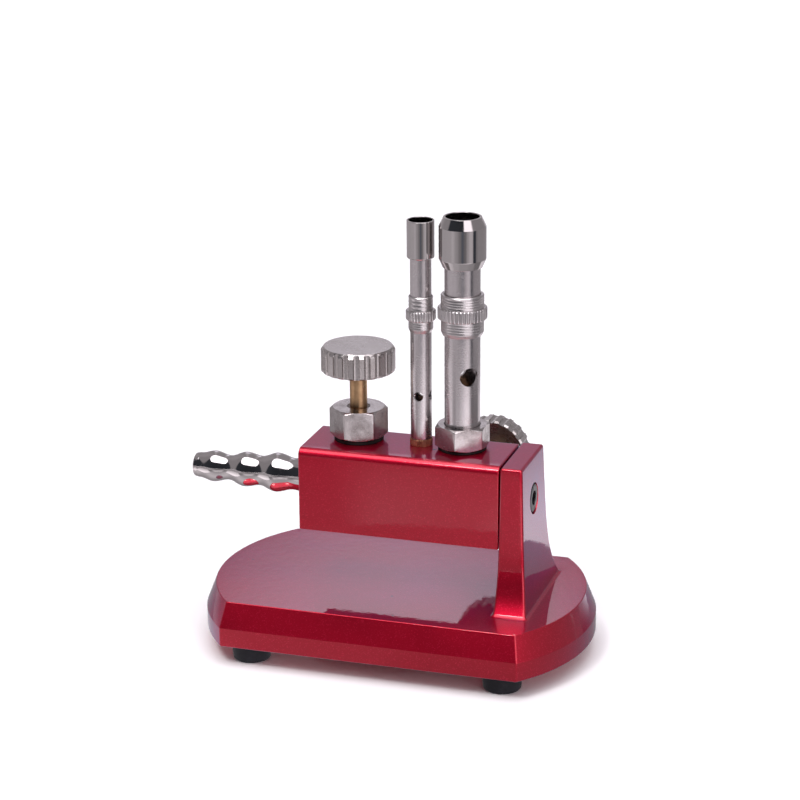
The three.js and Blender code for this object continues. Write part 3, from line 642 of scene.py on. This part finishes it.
def recess_tool():
    """The cored hollow under the plate, with room left for the left bosses."""
    work = bmesh.new()
    roof = BASE_TOP - SKIN
    sides = [(-1.0, BASE_BOTTOM - 1), (0.0, BASE_BOTTOM), (0.35, roof + 1.2), (0.7, roof + 0.35), (1.6, roof)]
    rings = []
    for inset, height in sides:
        loop = [(min(x, SOLID_FROM - inset), y) for x, y in plan_loop(-SKIN - inset, corner=2.5)]
        rings.append(add_loop(work, loop, height))
    for first, second in zip(rings, rings[1:]):
        bridge(work, first, second)
    work.faces.new(rings[0])
    work.faces.new(rings[-1])
    mesh = bpy.data.meshes.new("recess_tool")
    work.to_mesh(mesh)
    work.free()
    return finish_mesh("recess_tool", mesh, PAINT)


FOOT_SIDES = ("front_left", "front_right", "back_left", "back_right")
BOSS_RADIUS = 7.0
FOOT_SCREW_HOLE = 1.62
FOOT_HOLE_DEPTH = 7.6
# Through the post, going right: recess for the friction washer, the hole, and the counterbore.
PIVOT_BORE = [
    (0, -2), (8.2, -2), (8.2, 1.0), (2.6, 1.0), (2.6, 3.0), (4.45, 3.0), (4.45, 7.0), (4.75, 7.6),
    (4.75, 14), (0, 14),
]


def base_body():
    body = cast_body()
    hollow = recess_tool()
    for piece in (body, hollow):
        piece.location = AXIS
    bpy.context.view_layer.update()
    carve(body, [hollow])
    bosses = []
    holes = []
    for side in FOOT_SIDES:
        x, y, _ = from_axis(middle(f"foot_{side}"))
        foot_place = at(x, y, 0)
        hole_top = BASE_BOTTOM + FOOT_HOLE_DEPTH
        holes.append(rod_cutter(FOOT_SCREW_HOLE, BASE_BOTTOM - 1, hole_top, foot_place, UP, 32))
        if side.endswith("left"):
            boss = rod_cutter(BOSS_RADIUS, BASE_BOTTOM, BASE_TOP - SKIN + 0.4, foot_place, UP)
            boss.data.materials.append(PAINT)
            bosses.append(boss)
    carve(body, bosses, operation="UNION")
    carve(body, holes + [cutter(PIVOT_BORE, at(0, 0, 0), RIGHT, 72)])
    return stand_for(body, "base", "red_paint", "base_casting")


# ---- Gas block ------------------------------------------------------------------------------

BLOCK_EDGE = 2.4
BLOCK_LOWER_EDGE = 0.2
BLOCK_END_EDGE = 0.4
VALVE_PORT = [(0, -10), (3.4, -10), (3.4, -5.6), (5, -5.6), (5, 1), (0, 1)]


def block_bar():
    """A bar with its ports still to be drilled; the upper long edges are rounder than the lower."""
    work = bmesh.new()
    half_y, half_z = BLOCK_BACK, BLOCK_TOP
    stations = []
    for k in range(6):
        angle = math.radians(90 * k / 5)
        along = BLOCK_END_EDGE * (1 - math.cos(angle))
        stations.append((along, BLOCK_END_EDGE * (1 - math.sin(angle))))
    stations = [(-BLOCK_LENGTH + along, inset) for along, inset in stations] + [
        (-along, inset) for along, inset in reversed(stations)
    ]
    rings = []
    for x, inset in stations:
        radii = [edge - 0.8 * inset for edge in (BLOCK_EDGE, BLOCK_EDGE, BLOCK_LOWER_EDGE, BLOCK_LOWER_EDGE)]
        loop = rectangle_loop(inset - half_y, half_y - inset, inset - half_z, half_z - inset, radii,
                              corner_parts=7)
        rings.append([work.verts.new(Vector((x, y, z)) * MM) for y, z in loop])
    for first, second in zip(rings, rings[1:]):
        bridge(work, first, second)
    work.faces.new(rings[0])
    work.faces.new(rings[-1])
    mesh = bpy.data.meshes.new("gas_block_body")
    work.to_mesh(mesh)
    work.free()
    return finish_mesh("gas_block_body", mesh, PAINT)


def block_body():
    block = block_bar()
    block.location = AXIS
    bpy.context.view_layer.update()
    valve = from_axis(middle("top_valve_stem"))
    large = from_axis(middle("large_burner_head"))
    small = from_axis(middle("small_burner_head"))
    plug = from_axis(middle("gallery_plug"))
    tools = [
        cutter(VALVE_PORT, at(valve.x, valve.y, BLOCK_TOP), UP),
        cutter(VALVE_PORT, at(large.x, BLOCK_BACK, 0), BACK),
        rod_cutter(4.4, -6.2, 1, at(large.x, large.y, BLOCK_TOP), UP),
        rod_cutter(3.0, -7.9, 1, at(small.x, small.y, BLOCK_TOP), UP),
        rod_cutter(4.22, -9.2, 1, at(-BLOCK_LENGTH, 0, 0), LEFT),
        rod_cutter(2.62, -8.8, 1, at(0, 0, 0), RIGHT),
        rod_cutter(1.62, -4.6, 1, at(0, 0, plug.z), RIGHT, 32),
    ]
    carve(block, tools)
    return stand_for(block, "burner_block", "red_paint", "gas_block")


# ---- Feet -----------------------------------------------------------------------------------

def foot(side):
    low, high = (from_axis(corner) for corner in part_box(f"foot_{side}"))
    height = BASE_BOTTOM - low.z
    profile = rounded([
        (1.65, height - 0.03), (1.65, 3.2), (3.1, 3.2, 0.2), (3.1, 0, 0.3), (5.5, 0, 0.8),
        (5.72, 2.4, 2.0), (6.0, height - 0.03, 0.15),
    ], steps=6)
    piece = lathe(f"rubber_foot_{side}", profile, RUBBER)
    point_z_along(piece, at((low.x + high.x) / 2, (low.y + high.y) / 2, low.z), UP)
    return stand_for(piece, "base", "black_rubber", f"foot_{side}")


# ---- Pivot screw ----------------------------------------------------------------------------

SCREW_HEAD_LENGTH = 3.5
SCREW_SOCKET_FLATS = 4.0
SCREW_SOCKET_DEPTH = 2.3


def pivot_screw():
    low, high = (from_axis(corner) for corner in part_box("pivot_screw"))
    head_end = high.x
    head_start = head_end - SCREW_HEAD_LENGTH
    profile = rounded([
        (0, low.x), (2.0, low.x), (2.5, low.x + 0.5), (2.5, head_start), (4.25, head_start, 0.15),
        (4.25, head_end, 0.35), (0, head_end),
    ], steps=4)
    piece = lathe("pivot_cap_screw", profile, BLACK_STEEL)
    point_z_along(piece, at(0, 0, 0), RIGHT)
    floor = head_end - SCREW_SOCKET_DEPTH
    socket = cutter([(0, floor), (4, floor), (4, head_end + 1), (0, head_end + 1)], at(0, 0, 0), RIGHT,
                    steps=hexagon_steps(SCREW_SOCKET_FLATS, 0.3, corner_radius=0.15))
    rim = rod_cutter(2.2, 0, 1, at(head_end - 0.25, 0, 0), RIGHT)
    carve(piece, [socket, rim], sharp=28)
    return stand_for(piece, "burner_block", "black_steel", "pivot_screw")


# ---- Hose barb ------------------------------------------------------------------------------

def hose_barb():
    """Three rounded bulges, each smaller than the last, on a bored stem."""
    low, high = (from_axis(corner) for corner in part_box("hose_barb"))
    tip = -low.x
    stations = [
        (BLOCK_LENGTH + 0.15, 5.3), (66.4, 4.75), (71.8, 5.87), (76.8, 4.45), (81.7, 5.23), (86.9, 3.7),
        (91.7, 4.66), (96.2, 3.75), (tip - 0.5, 3.6),
    ]
    outside = []
    for (x0, r0), (x1, r1) in zip(stations, stations[1:]):
        parts = 14
        for k in range(parts):
            share = k / parts
            ease = (1 - math.cos(math.pi * share)) / 2
            outside.append((r0 + (r1 - r0) * ease, x0 + (x1 - x0) * share))
    thread_end = -high.x
    tip_round = rounded([(3.6, tip - 1.2), (3.6, tip, 0.5), (2.2, tip, 0.3), (2.2, tip - 1.2)], steps=5)
    outline = [(2.2, thread_end), (4.1, thread_end), (4.1, BLOCK_LENGTH + 0.15)]
    outline += outside + tip_round[1:-1]
    piece = lathe("nickel_hose_barb", outline, POLISHED, round_steps(112))
    point_z_along(piece, at(0, 0, 0), LEFT)
    return stand_for(piece, "burner_block", "nickel_plate", "hose_barb")


# ---- Needle valves --------------------------------------------------------------------------

VALVE_NUT_FLATS = 15.0
KNOB_FLUTES = 21
KNOB_RADIUS = 10.93
KNOB_FLUTE_DEPTH = 0.75
KNOB_BOTTOM = 21.0
KNOB_TOP = 28.6


def nut_profile(flats, low, high, chamfer, bore, bore_top, spigot, spigot_end):
    """A nut with its corners chamfered at both ends and a spigot below; its steps cut the hexagon."""
    corner = flats / math.sqrt(3)
    edge = corner - chamfer * math.sqrt(3)
    outside = [(edge, low), (corner, low + chamfer), (corner, high - chamfer), (edge, high)]
    return subdivided([
        (bore, spigot_end), (spigot, spigot_end), (spigot, low), *outside, (bore_top, high),
        (bore_top, high - 0.35), (bore, high - 1.5),
    ], 0.12)


def valve(name, place, direction, nut_corner, knob_phase):
    """The nut, its washer, the stem and the knob, standing out of the block along a direction."""
    tag = f"{name}_valve"
    # The washer under the nut is near black, a washer that also carries painted contact shade.
    washer = lathe(f"{tag}_washer_with_contact_shade", rounded([
        (5.25, 0.03), (7.3, 0.03, 0.2), (7.3, 1.18, 0.2), (5.25, 1.18),
    ]), FIBRE_WITH_CONTACT_SHADE)
    nut = lathe(f"{tag}_gland_nut",
                nut_profile(VALVE_NUT_FLATS, 1.36, 10.05, 0.62, 2.73, 3.45, 4.85, -5.4), NUT_DIRT_AND_PAINTED_SHADE,
                hexagon_steps(VALVE_NUT_FLATS, nut_corner), sharp=24)
    stem = lathe(f"{tag}_brass_stem", rounded([
        (0, -12), (0.35, -12), (1.7, -8.2), (1.7, -6.2), (2.95, -5.6, 0.1), (2.95, 2.2, 0.1), (2.57, 2.5),
        (2.57, 5.0), (1.87, 5.0), (1.87, 6.2), (2.57, 6.2), (2.57, KNOB_BOTTOM + 5.5), (0, KNOB_BOTTOM + 5.5),
    ]), BRASS, round_steps(72))
    knob_profile = subdivided([
        (2.66, KNOB_BOTTOM), (10.4, KNOB_BOTTOM), (KNOB_RADIUS, KNOB_BOTTOM + 0.45),
        (KNOB_RADIUS, KNOB_TOP - 1.15), (10.05, KNOB_TOP), (0, KNOB_TOP), (0, KNOB_BOTTOM + 5.8),
        (2.66, KNOB_BOTTOM + 5.8),
    ], 0.35)
    flutes = fluted_steps(KNOB_RADIUS, KNOB_FLUTE_DEPTH, KNOB_FLUTES, 12, knob_phase, ridge=0.42, flat=0.3)
    knob = lathe(f"{tag}_fluted_knob", knob_profile, WORN, flutes, sharp=28)
    for piece in (washer, nut, stem, knob):
        point_z_along(piece, place, direction)
    stand_for(washer, "burner_block", "black_fibre", f"{tag}_washer")
    stand_for(nut, "burner_block", "nickel_plate", f"{tag}_nut")
    stand_for(stem, f"{name}_stem", "brass", f"{tag}_stem")
    stand_for(knob, f"{name}_knob", "nickel_plate", f"{tag}_knob")


# ---- Burners --------------------------------------------------------------------------------

def tool_rings(radius, low, high, count, depth):
    """Shallow turned grooves between two heights, going up."""
    points = []
    step = (high - low) / count
    for k in range(count):
        start = low + step * k
        points += [(radius, start), (radius - depth, start + step * 0.42), (radius, start + step * 0.84)]
    return points


def air_collar(name, top, length, bore, radii, band, rings, depth, knurl):
    """A sliding collar: a grooved upper part, a knurled band and a chamfered lower part."""
    upper, middle_band, lower = radii
    band_high, band_low = top - band[0], top - band[1]
    bottom = top - length
    profile = [
        (lower - 0.45, bottom), (lower - 0.05, bottom + 0.95), (lower, bottom + 1.1),
        *tool_rings(lower, bottom + 1.35, band_low - 0.3, rings, depth * 0.6),
        (lower, band_low - 0.05), (middle_band - 0.3, band_low), (middle_band, band_low + 0.3),
        (middle_band, band_high - 0.3), (middle_band - 0.3, band_high), (upper, band_high + 0.05),
        *tool_rings(upper, band_high + 0.3, top - 0.45, rings, depth),
        (upper, top - 0.3), (upper - 0.25, top), (bore + 0.1, top), (bore, top - 0.15), (bore, bottom + 0.1),
    ]
    return lathe(name, profile, GRITTY, knurl, sharp=24)


def stand_burner(nodes, pieces, place):
    for piece in pieces:
        point_z_along(piece, place, UP)
    bpy.context.view_layer.update()
    return dict(zip(nodes, pieces))


LARGE_NUT_FLATS = 14.3
LARGE_AIR_HOLE = 2.75
LARGE_AIR_HEIGHT = 35.45
LARGE_AIR_AZIMUTH = 40
SMALL_AIR_HOLE = 1.45
SMALL_AIR_HEIGHT = 27.9


def large_burner():
    """Washer, nut, barrel with its air hole, nozzle and air collar."""
    head_low, head_high = (from_axis(corner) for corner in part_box("large_burner_head"))
    rim = head_high.z
    place = at((head_low.x + head_high.x) / 2, (head_low.y + head_high.y) / 2, 0)
    washer_low, washer_high = BLOCK_TOP + 0.03, BLOCK_TOP + 0.8
    nut_low, nut_high = BLOCK_TOP + 0.97, BLOCK_TOP + 7.55
    tube_low = from_axis(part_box("large_burner_tube")[0]).z
    step = rim - 8
    # The washer under the nut is near black, a washer that also carries painted contact shade.
    washer = lathe("large_burner_washer_with_contact_shade", rounded([
        (4.5, washer_low), (7.1, washer_low, 0.2), (7.1, washer_high, 0.2), (4.5, washer_high),
    ]), FIBRE_WITH_CONTACT_SHADE)
    outline = nut_profile(LARGE_NUT_FLATS, nut_low, nut_high, 0.62, 5.32, 5.4, 4.28, BLOCK_TOP - 5.4)
    corners = hexagon_steps(LARGE_NUT_FLATS, math.pi / 2)
    nut = lathe("large_burner_hex_nut", outline, NUT_DIRT_AND_PAINTED_SHADE, corners, sharp=24)
    tube = lathe("large_burner_barrel", rounded([
        (4.4, tube_low), (5.2, tube_low), (5.2, nut_high + 0.03), (5.2, step - 0.16), (4.4, step - 0.16),
    ]), SMOOTH, round_steps(120))
    nozzle = lathe("large_burner_nozzle", rounded([
        (4.9, rim, 0.12), (4.9, step), (5.32, step), (5.32, rim - 14.73, 0.05), (5.74, rim - 14.73, 0.12),
        (6.84, rim - 12.2, 0.3), (6.84, rim - 2.85, 0.1), (5.5, rim, 0.1),
    ]), POLISHED, round_steps(128), sharp=24)
    collar = air_collar("large_knurled_air_collar", rim - 22.65, 12.1, 5.3, (6.28, 7.18, 6.22), (3.8, 7.3), 4,
                        0.12, fluted_steps(7.18, 0.26, 40, 5, 0.05, ridge=0.35))
    nodes = [f"large_burner_{part}" for part in ("washer", "nut", "tube", "head")] + ["large_air_collar"]
    standing = stand_burner(nodes, (washer, nut, tube, nozzle, collar), place)
    across = away(LARGE_AIR_AZIMUTH, 0)
    hole = rod_cutter(LARGE_AIR_HOLE, -10, 10, place + UP * LARGE_AIR_HEIGHT * MM, across)
    carve(tube, [hole], sharp=30)
    for node, piece in standing.items():
        body = "large_collar" if piece is collar else "burner_block"
        stand_for(piece, body, "black_fibre" if piece is washer else "nickel_plate", node)


def small_burner():
    """Knurled foot ring, barrel with four air holes, cup and air collar."""
    head_low, head_high = (from_axis(corner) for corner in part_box("small_burner_head"))
    rim = head_high.z
    place = at((head_low.x + head_high.x) / 2, (head_low.y + head_high.y) / 2, 0)
    ring_low, ring_high = BLOCK_TOP + 0.03, BLOCK_TOP + 2.15
    # The foot ring's darker, browner brass colour is a painted reflection of the red block.
    ring = lathe("small_burner_foot_ring", subdivided([
        (1.16, 6.42), (2.87, 6.42), (2.87, ring_low), (3.2, ring_low), (3.34, ring_low + 0.2),
        (3.34, ring_high - 0.2), (3.2, ring_high), (2.27, ring_high), (2.27, ring_high + 2.98),
        (1.16, ring_high + 2.98),
    ], 0.5), BRASS_WITH_PAINTED_RED_REFLECTION, fluted_steps(3.34, 0.22, 32, 5, ridge=0.35), sharp=24)
    tube = lathe("small_burner_barrel", rounded([
        (2.4, ring_high + 0.15), (3.1, ring_high + 0.15, 0.1), (3.1, rim - 9.02), (2.4, rim - 9.02),
    ]), SMOOTH, round_steps(96))
    cup = lathe("small_burner_cup", rounded([
        (3.5, rim, 0.1), (3.5, rim - 7.72), (3.22, rim - 7.72), (3.22, rim - 11.08), (3.8, rim - 11.08, 0.15),
        (4.0, rim - 10.8, 0.15), (4.0, rim, 0.12),
    ]), POLISHED, round_steps(112), sharp=24)
    collar = air_collar("small_knurled_air_collar", rim - 22.3, 10.8, 3.2, (3.57, 4.36, 3.63), (4.2, 7.2), 3,
                        0.12, fluted_steps(4.36, 0.26, 30, 5, 0.1, ridge=0.35))
    nodes = ["small_burner_ring", "small_burner_tube", "small_burner_head", "small_air_collar"]
    standing = stand_burner(nodes, (ring, tube, cup, collar), place)
    hole_place = place + UP * SMALL_AIR_HEIGHT * MM
    holes = [rod_cutter(SMALL_AIR_HOLE, -6, 6, hole_place, side, 40) for side in (BACK, RIGHT)]
    carve(tube, holes, sharp=30)
    for node, piece in standing.items():
        body = "small_collar" if piece is collar else "burner_block"
        stand_for(piece, body, "brass" if piece is ring else "nickel_plate", node)


# ---- CAD nodes that stay in view ------------------------------------------------------------

def dress_nodes():
    """The small inner parts keep their CAD shape and get a finished material."""
    looks = {
        "black_steel": BLACK_STEEL,
        "black_rubber": RUBBER,
        "black_fibre": FIBRE_WITH_CONTACT_SHADE,
        "brass": BRASS,
        "nickel_plate": SATIN,
        "red_paint": PAINT,
    }
    for row in frame["record"]["subparts"]:
        node = frame["nodes"][row["node"]]
        node.data.materials.clear()
        node.data.materials.append(looks[row["material_slot"]])


# ---- Stage, light and camera ----------------------------------------------------------------

FLOOR_REACH = 12.0


def make_floor():
    mesh = bpy.data.meshes.new("floor")
    corners = [(x * FLOOR_REACH, y * FLOOR_REACH, 0) for x, y in ((-1, -1), (1, -1), (1, 1), (-1, 1))]
    mesh.from_pydata(corners, [], [(0, 1, 2, 3)])
    floor = bpy.data.objects.new("floor", mesh)
    bpy.context.scene.collection.objects.link(floor)
    mesh.materials.append(pale_floor())


def area_light(name, place, target, size, power):
    data = bpy.data.lights.new(name, "AREA")
    data.shape = "RECTANGLE"
    data.size = data.size_y = size
    data.energy = power
    light = bpy.data.objects.new(name, data)
    light.location = place
    light.rotation_mode = "QUATERNION"
    light.rotation_quaternion = (Vector(target) - Vector(place)).to_track_quat("-Z", "Y")
    bpy.context.scene.collection.objects.link(light)


# The studio as the plated parts see it, by azimuth from the camera's side (degrees, right positive).
# ROUND is the room at the object's own level, APRON the ground beyond the table's near surroundings.
ROUND = (
    (-180, 0.74), (-170, 0.48), (-135, 0.55), (-110, 0.45), (-84, 0.45), (-75, 0.07), (3, 0.05), (10, 2.40),
    (46, 2.40), (58, 0.42), (125, 0.42), (150, 0.50), (170, 0.48), (180, 0.74),
)
APRON = (
    (-180, 0.48), (-128, 0.50), (-59, 0.54), (-48, 0.63), (-28, 0.43), (-9, 0.25), (0, 0.17), (14, 0.22),
    (26, 0.48), (38, 0.66), (48, 0.62), (54, 0.07), (63, 0.07), (70, 0.30), (82, 0.36), (130, 0.36),
    (180, 0.48),
)
# The table's own near surroundings: NEAR from 12 cm out, INNER right round the base.
NEAR = (
    (-180, 0.40), (-120, 0.50), (-95, 1.40), (-72, 1.30), (-54, 0.36), (-41, 0.40), (-33, 0.86), (-20, 0.72),
    (-10, 1.15), (0, 1.42), (8, 1.70), (22, 2.15), (42, 2.15), (50, 1.00), (62, 0.20), (110, 0.22),
    (122, 1.25), (129, 1.20), (134, 1.20), (150, 1.20), (166, 0.60), (180, 0.40),
)
INNER = (
    (-180, 0.35), (-120, 0.40), (-80, 0.85), (-64, 0.75), (-48, 0.58), (-20, 0.55), (0, 0.45), (35, 0.45),
    (60, 0.40), (88, 0.35), (122, 0.35), (138, 1.05), (152, 1.05), (166, 0.50), (180, 0.35),
)
STUDIO_FACING = 17.6
# Levels below DARK are the room's cold shade, the rest its warm light.
DARK = 0.2
COLD_TINT = (0.75, 0.82, 1.0)
WARM_TINT = (1.0, 0.945, 0.995)
# Radii of the rings on the table, in metres, and how far out the near one's light falls off.
INNER_FROM, NEAR_FROM, FAR_FROM, FAR_TO = 0.03, 0.12, 0.27, 3.0
FADE_TO = 0.21
RING_HEIGHT = 0.0005
RING_PARTS = 144
WORLD_STRENGTH = 0.8
KEY_PLACE, KEY_TARGET = (-0.35, -1.11, 1.87), (0, 0, 0.06)
KEY_SIZE = 0.42
KEY_POWER = 12


class Studio:
    """Nodes that turn a direction into a grey level by its azimuth from the camera's side."""

    def __init__(self, tree, direction):
        self.tree = tree
        parts = self.add("ShaderNodeSeparateXYZ")
        tree.links.new(direction, parts.inputs[0])
        self.x, self.y, self.z = parts.outputs

    def add(self, kind, **values):
        made = self.tree.nodes.new(kind)
        for key, value in values.items():
            setattr(made, key, value)
        return made

    def math(self, operation, first, second=0.0):
        made = self.add("ShaderNodeMath", operation=operation)
        for socket, value in zip(made.inputs, (first, second)):
            if isinstance(value, bpy.types.NodeSocket):
                self.tree.links.new(value, socket)
            else:
                socket.default_value = value
        return made.outputs[0]

    def smooth(self, value, low, high):
        made = self.add("ShaderNodeMapRange", interpolation_type="SMOOTHSTEP")
        self.tree.links.new(value, made.inputs["Value"])
        made.inputs["From Min"].default_value = low
        made.inputs["From Max"].default_value = high
        return made.outputs["Result"]

    def mix(self, share, first, second):
        made = self.add("ShaderNodeMix", data_type="RGBA")
        self.tree.links.new(share, made.inputs["Factor"])
        self.tree.links.new(first, made.inputs[6])
        made.inputs[7].default_value = second
        return made.outputs[2]

    def cone(self, direction, outer, inner):
        """1 within the inner angle of a direction, fading to 0 at the outer one, in degrees."""
        return self.smooth(self.dot(direction), math.cos(math.radians(outer)), math.cos(math.radians(inner)))

    def dot(self, direction):
        pairs = zip((self.x, self.y, self.z), direction)
        products = [self.math("MULTIPLY", own, other) for own, other in pairs]
        return self.math("ADD", self.math("ADD", products[0], products[1]), products[2])

    def ramp(self, levels):
        turn = math.radians(STUDIO_FACING)
        ahead = self.dot((math.sin(turn), -math.cos(turn), 0))
        across = self.dot((math.cos(turn), math.sin(turn), 0))
        azimuth = self.math("ARCTAN2", across, ahead)
        made = self.add("ShaderNodeValToRGB")
        made.color_ramp.interpolation = "EASE"
        points = made.color_ramp.elements
        for angle, level in levels:
            if abs(angle) == 180:
                point = points[0 if angle < 0 else -1]
            else:
                point = points.new((angle + 180) / 360)
            tint = COLD_TINT if level < DARK else WARM_TINT
            point.color = (*(level * channel for channel in tint), 1)
        self.tree.links.new(self.math("ADD", self.math("DIVIDE", azimuth, 2 * math.pi), 0.5), made.inputs[0])
        return made.outputs[0]


def make_world():
    """A room that is dark behind the camera, with a soft box overhead and a glow on the back wall."""
    world = bpy.data.worlds.new("studio")
    world.use_nodes = True
    tree = world.node_tree
    studio = Studio(tree, tree.nodes.new("ShaderNodeTexCoord").outputs["Generated"])
    room = studio.ramp(ROUND)
    over = studio.cone(away(STUDIO_FACING, 75), 32, 28)
    light = studio.mix(over, room, (3.90, 3.80, 4.00, 1))
    glow = studio.cone(away(STUDIO_FACING + 180, 26), 6.8, 1.6)
    light = studio.mix(glow, light, (2.10, 2.05, 2.35, 1))
    backdrop = tree.nodes["Background"]
    tree.links.new(light, backdrop.inputs["Color"])
    backdrop.inputs["Strength"].default_value = WORLD_STRENGTH
    bpy.context.scene.world = world


def reflected_ring(name, inner, outer, levels, fade=0.0):
    """A ring lying on the table, seen only in reflections: levels by direction, darker outward by fade."""
    work = bmesh.new()
    rings = []
    for radius in (inner, outer):
        ring = []
        for angle, _ in round_steps(RING_PARTS):
            place = (radius * math.cos(angle), radius * math.sin(angle), RING_HEIGHT)
            ring.append(work.verts.new(place))
        rings.append(ring)
    bridge(work, *rings)
    mesh = bpy.data.meshes.new(name)
    work.to_mesh(mesh)
    work.free()
    material = bpy.data.materials.new(f"{name}_boards")
    material.use_nodes = True
    tree = material.node_tree
    tree.nodes.clear()
    studio = Studio(tree, tree.nodes.new("ShaderNodeTexCoord").outputs["Object"])
    glow = studio.add("ShaderNodeEmission")
    tree.links.new(studio.ramp(levels), glow.inputs["Color"])
    squares = [studio.math("MULTIPLY", side, side) for side in (studio.x, studio.y)]
    far = studio.smooth(studio.math("SQRT", studio.math("ADD", *squares)), NEAR_FROM, FADE_TO)
    strength = studio.math("SUBTRACT", 1 + fade / 2, studio.math("MULTIPLY", far, fade))
    tree.links.new(strength, glow.inputs["Strength"])
    tree.links.new(glow.outputs[0], studio.add("ShaderNodeOutputMaterial").inputs["Surface"])
    mesh.materials.append(material)
    ring = bpy.data.objects.new(name, mesh)
    ring.visible_camera = False
    ring.visible_diffuse = False
    ring.visible_transmission = False
    ring.visible_shadow = False
    bpy.context.scene.collection.objects.link(ring)


def make_light():
    make_world()
    reflected_ring("inner_apron", INNER_FROM, NEAR_FROM, INNER)
    reflected_ring("near_apron", NEAR_FROM, FAR_FROM, NEAR, fade=0.5)
    reflected_ring("far_apron", FAR_FROM, FAR_TO, APRON)
    area_light("key", KEY_PLACE, KEY_TARGET, KEY_SIZE, KEY_POWER)
    bpy.context.scene.view_settings.view_transform = "Standard"


CAMERA_DISTANCE = 0.7371
CAMERA_AZIMUTH, CAMERA_ELEVATION = 14.98, 20.15
LOOK_AZIMUTH, LOOK_ELEVATION, LOOK_ROLL = 17.60, 17.99, -0.40
CAMERA_LENS = 113.8
CAMERA_SENSOR = 36


def make_camera():
    data = bpy.data.cameras.new("camera")
    data.lens = CAMERA_LENS
    data.sensor_width = CAMERA_SENSOR
    camera = bpy.data.objects.new("camera", data)
    backward = away(LOOK_AZIMUTH, LOOK_ELEVATION)
    right = Vector((math.cos(math.radians(LOOK_AZIMUTH)), math.sin(math.radians(LOOK_AZIMUTH)), 0))
    up = backward.cross(right)
    roll = math.radians(LOOK_ROLL)
    rolled_right = right * math.cos(roll) + up * math.sin(roll)
    rolled_up = up * math.cos(roll) - right * math.sin(roll)
    turn = Matrix((rolled_right, rolled_up, backward)).transposed().to_4x4()
    place = AXIS + away(CAMERA_AZIMUTH, CAMERA_ELEVATION) * CAMERA_DISTANCE
    camera.matrix_world = Matrix.Translation(place) @ turn
    bpy.context.scene.collection.objects.link(camera)
    bpy.context.scene.camera = camera


# ---- Build ----------------------------------------------------------------------------------

make_camera()
make_light()
make_floor()
dress_nodes()
base_body()
block_body()
for side_name in FOOT_SIDES:
    foot(side_name)
pivot_screw()
hose_barb()
top_stem = from_axis(middle("top_valve_stem"))
back_stem = from_axis(middle("back_valve_stem"))
top_nut_corner, top_knob_phase = math.radians(-102), math.radians(-66)
valve("top", at(top_stem.x, top_stem.y, BLOCK_TOP), UP, top_nut_corner, top_knob_phase)
valve("back", at(back_stem.x, BLOCK_BACK, back_stem.z), BACK, nut_corner=0, knob_phase=0.1)
large_burner()
small_burner()
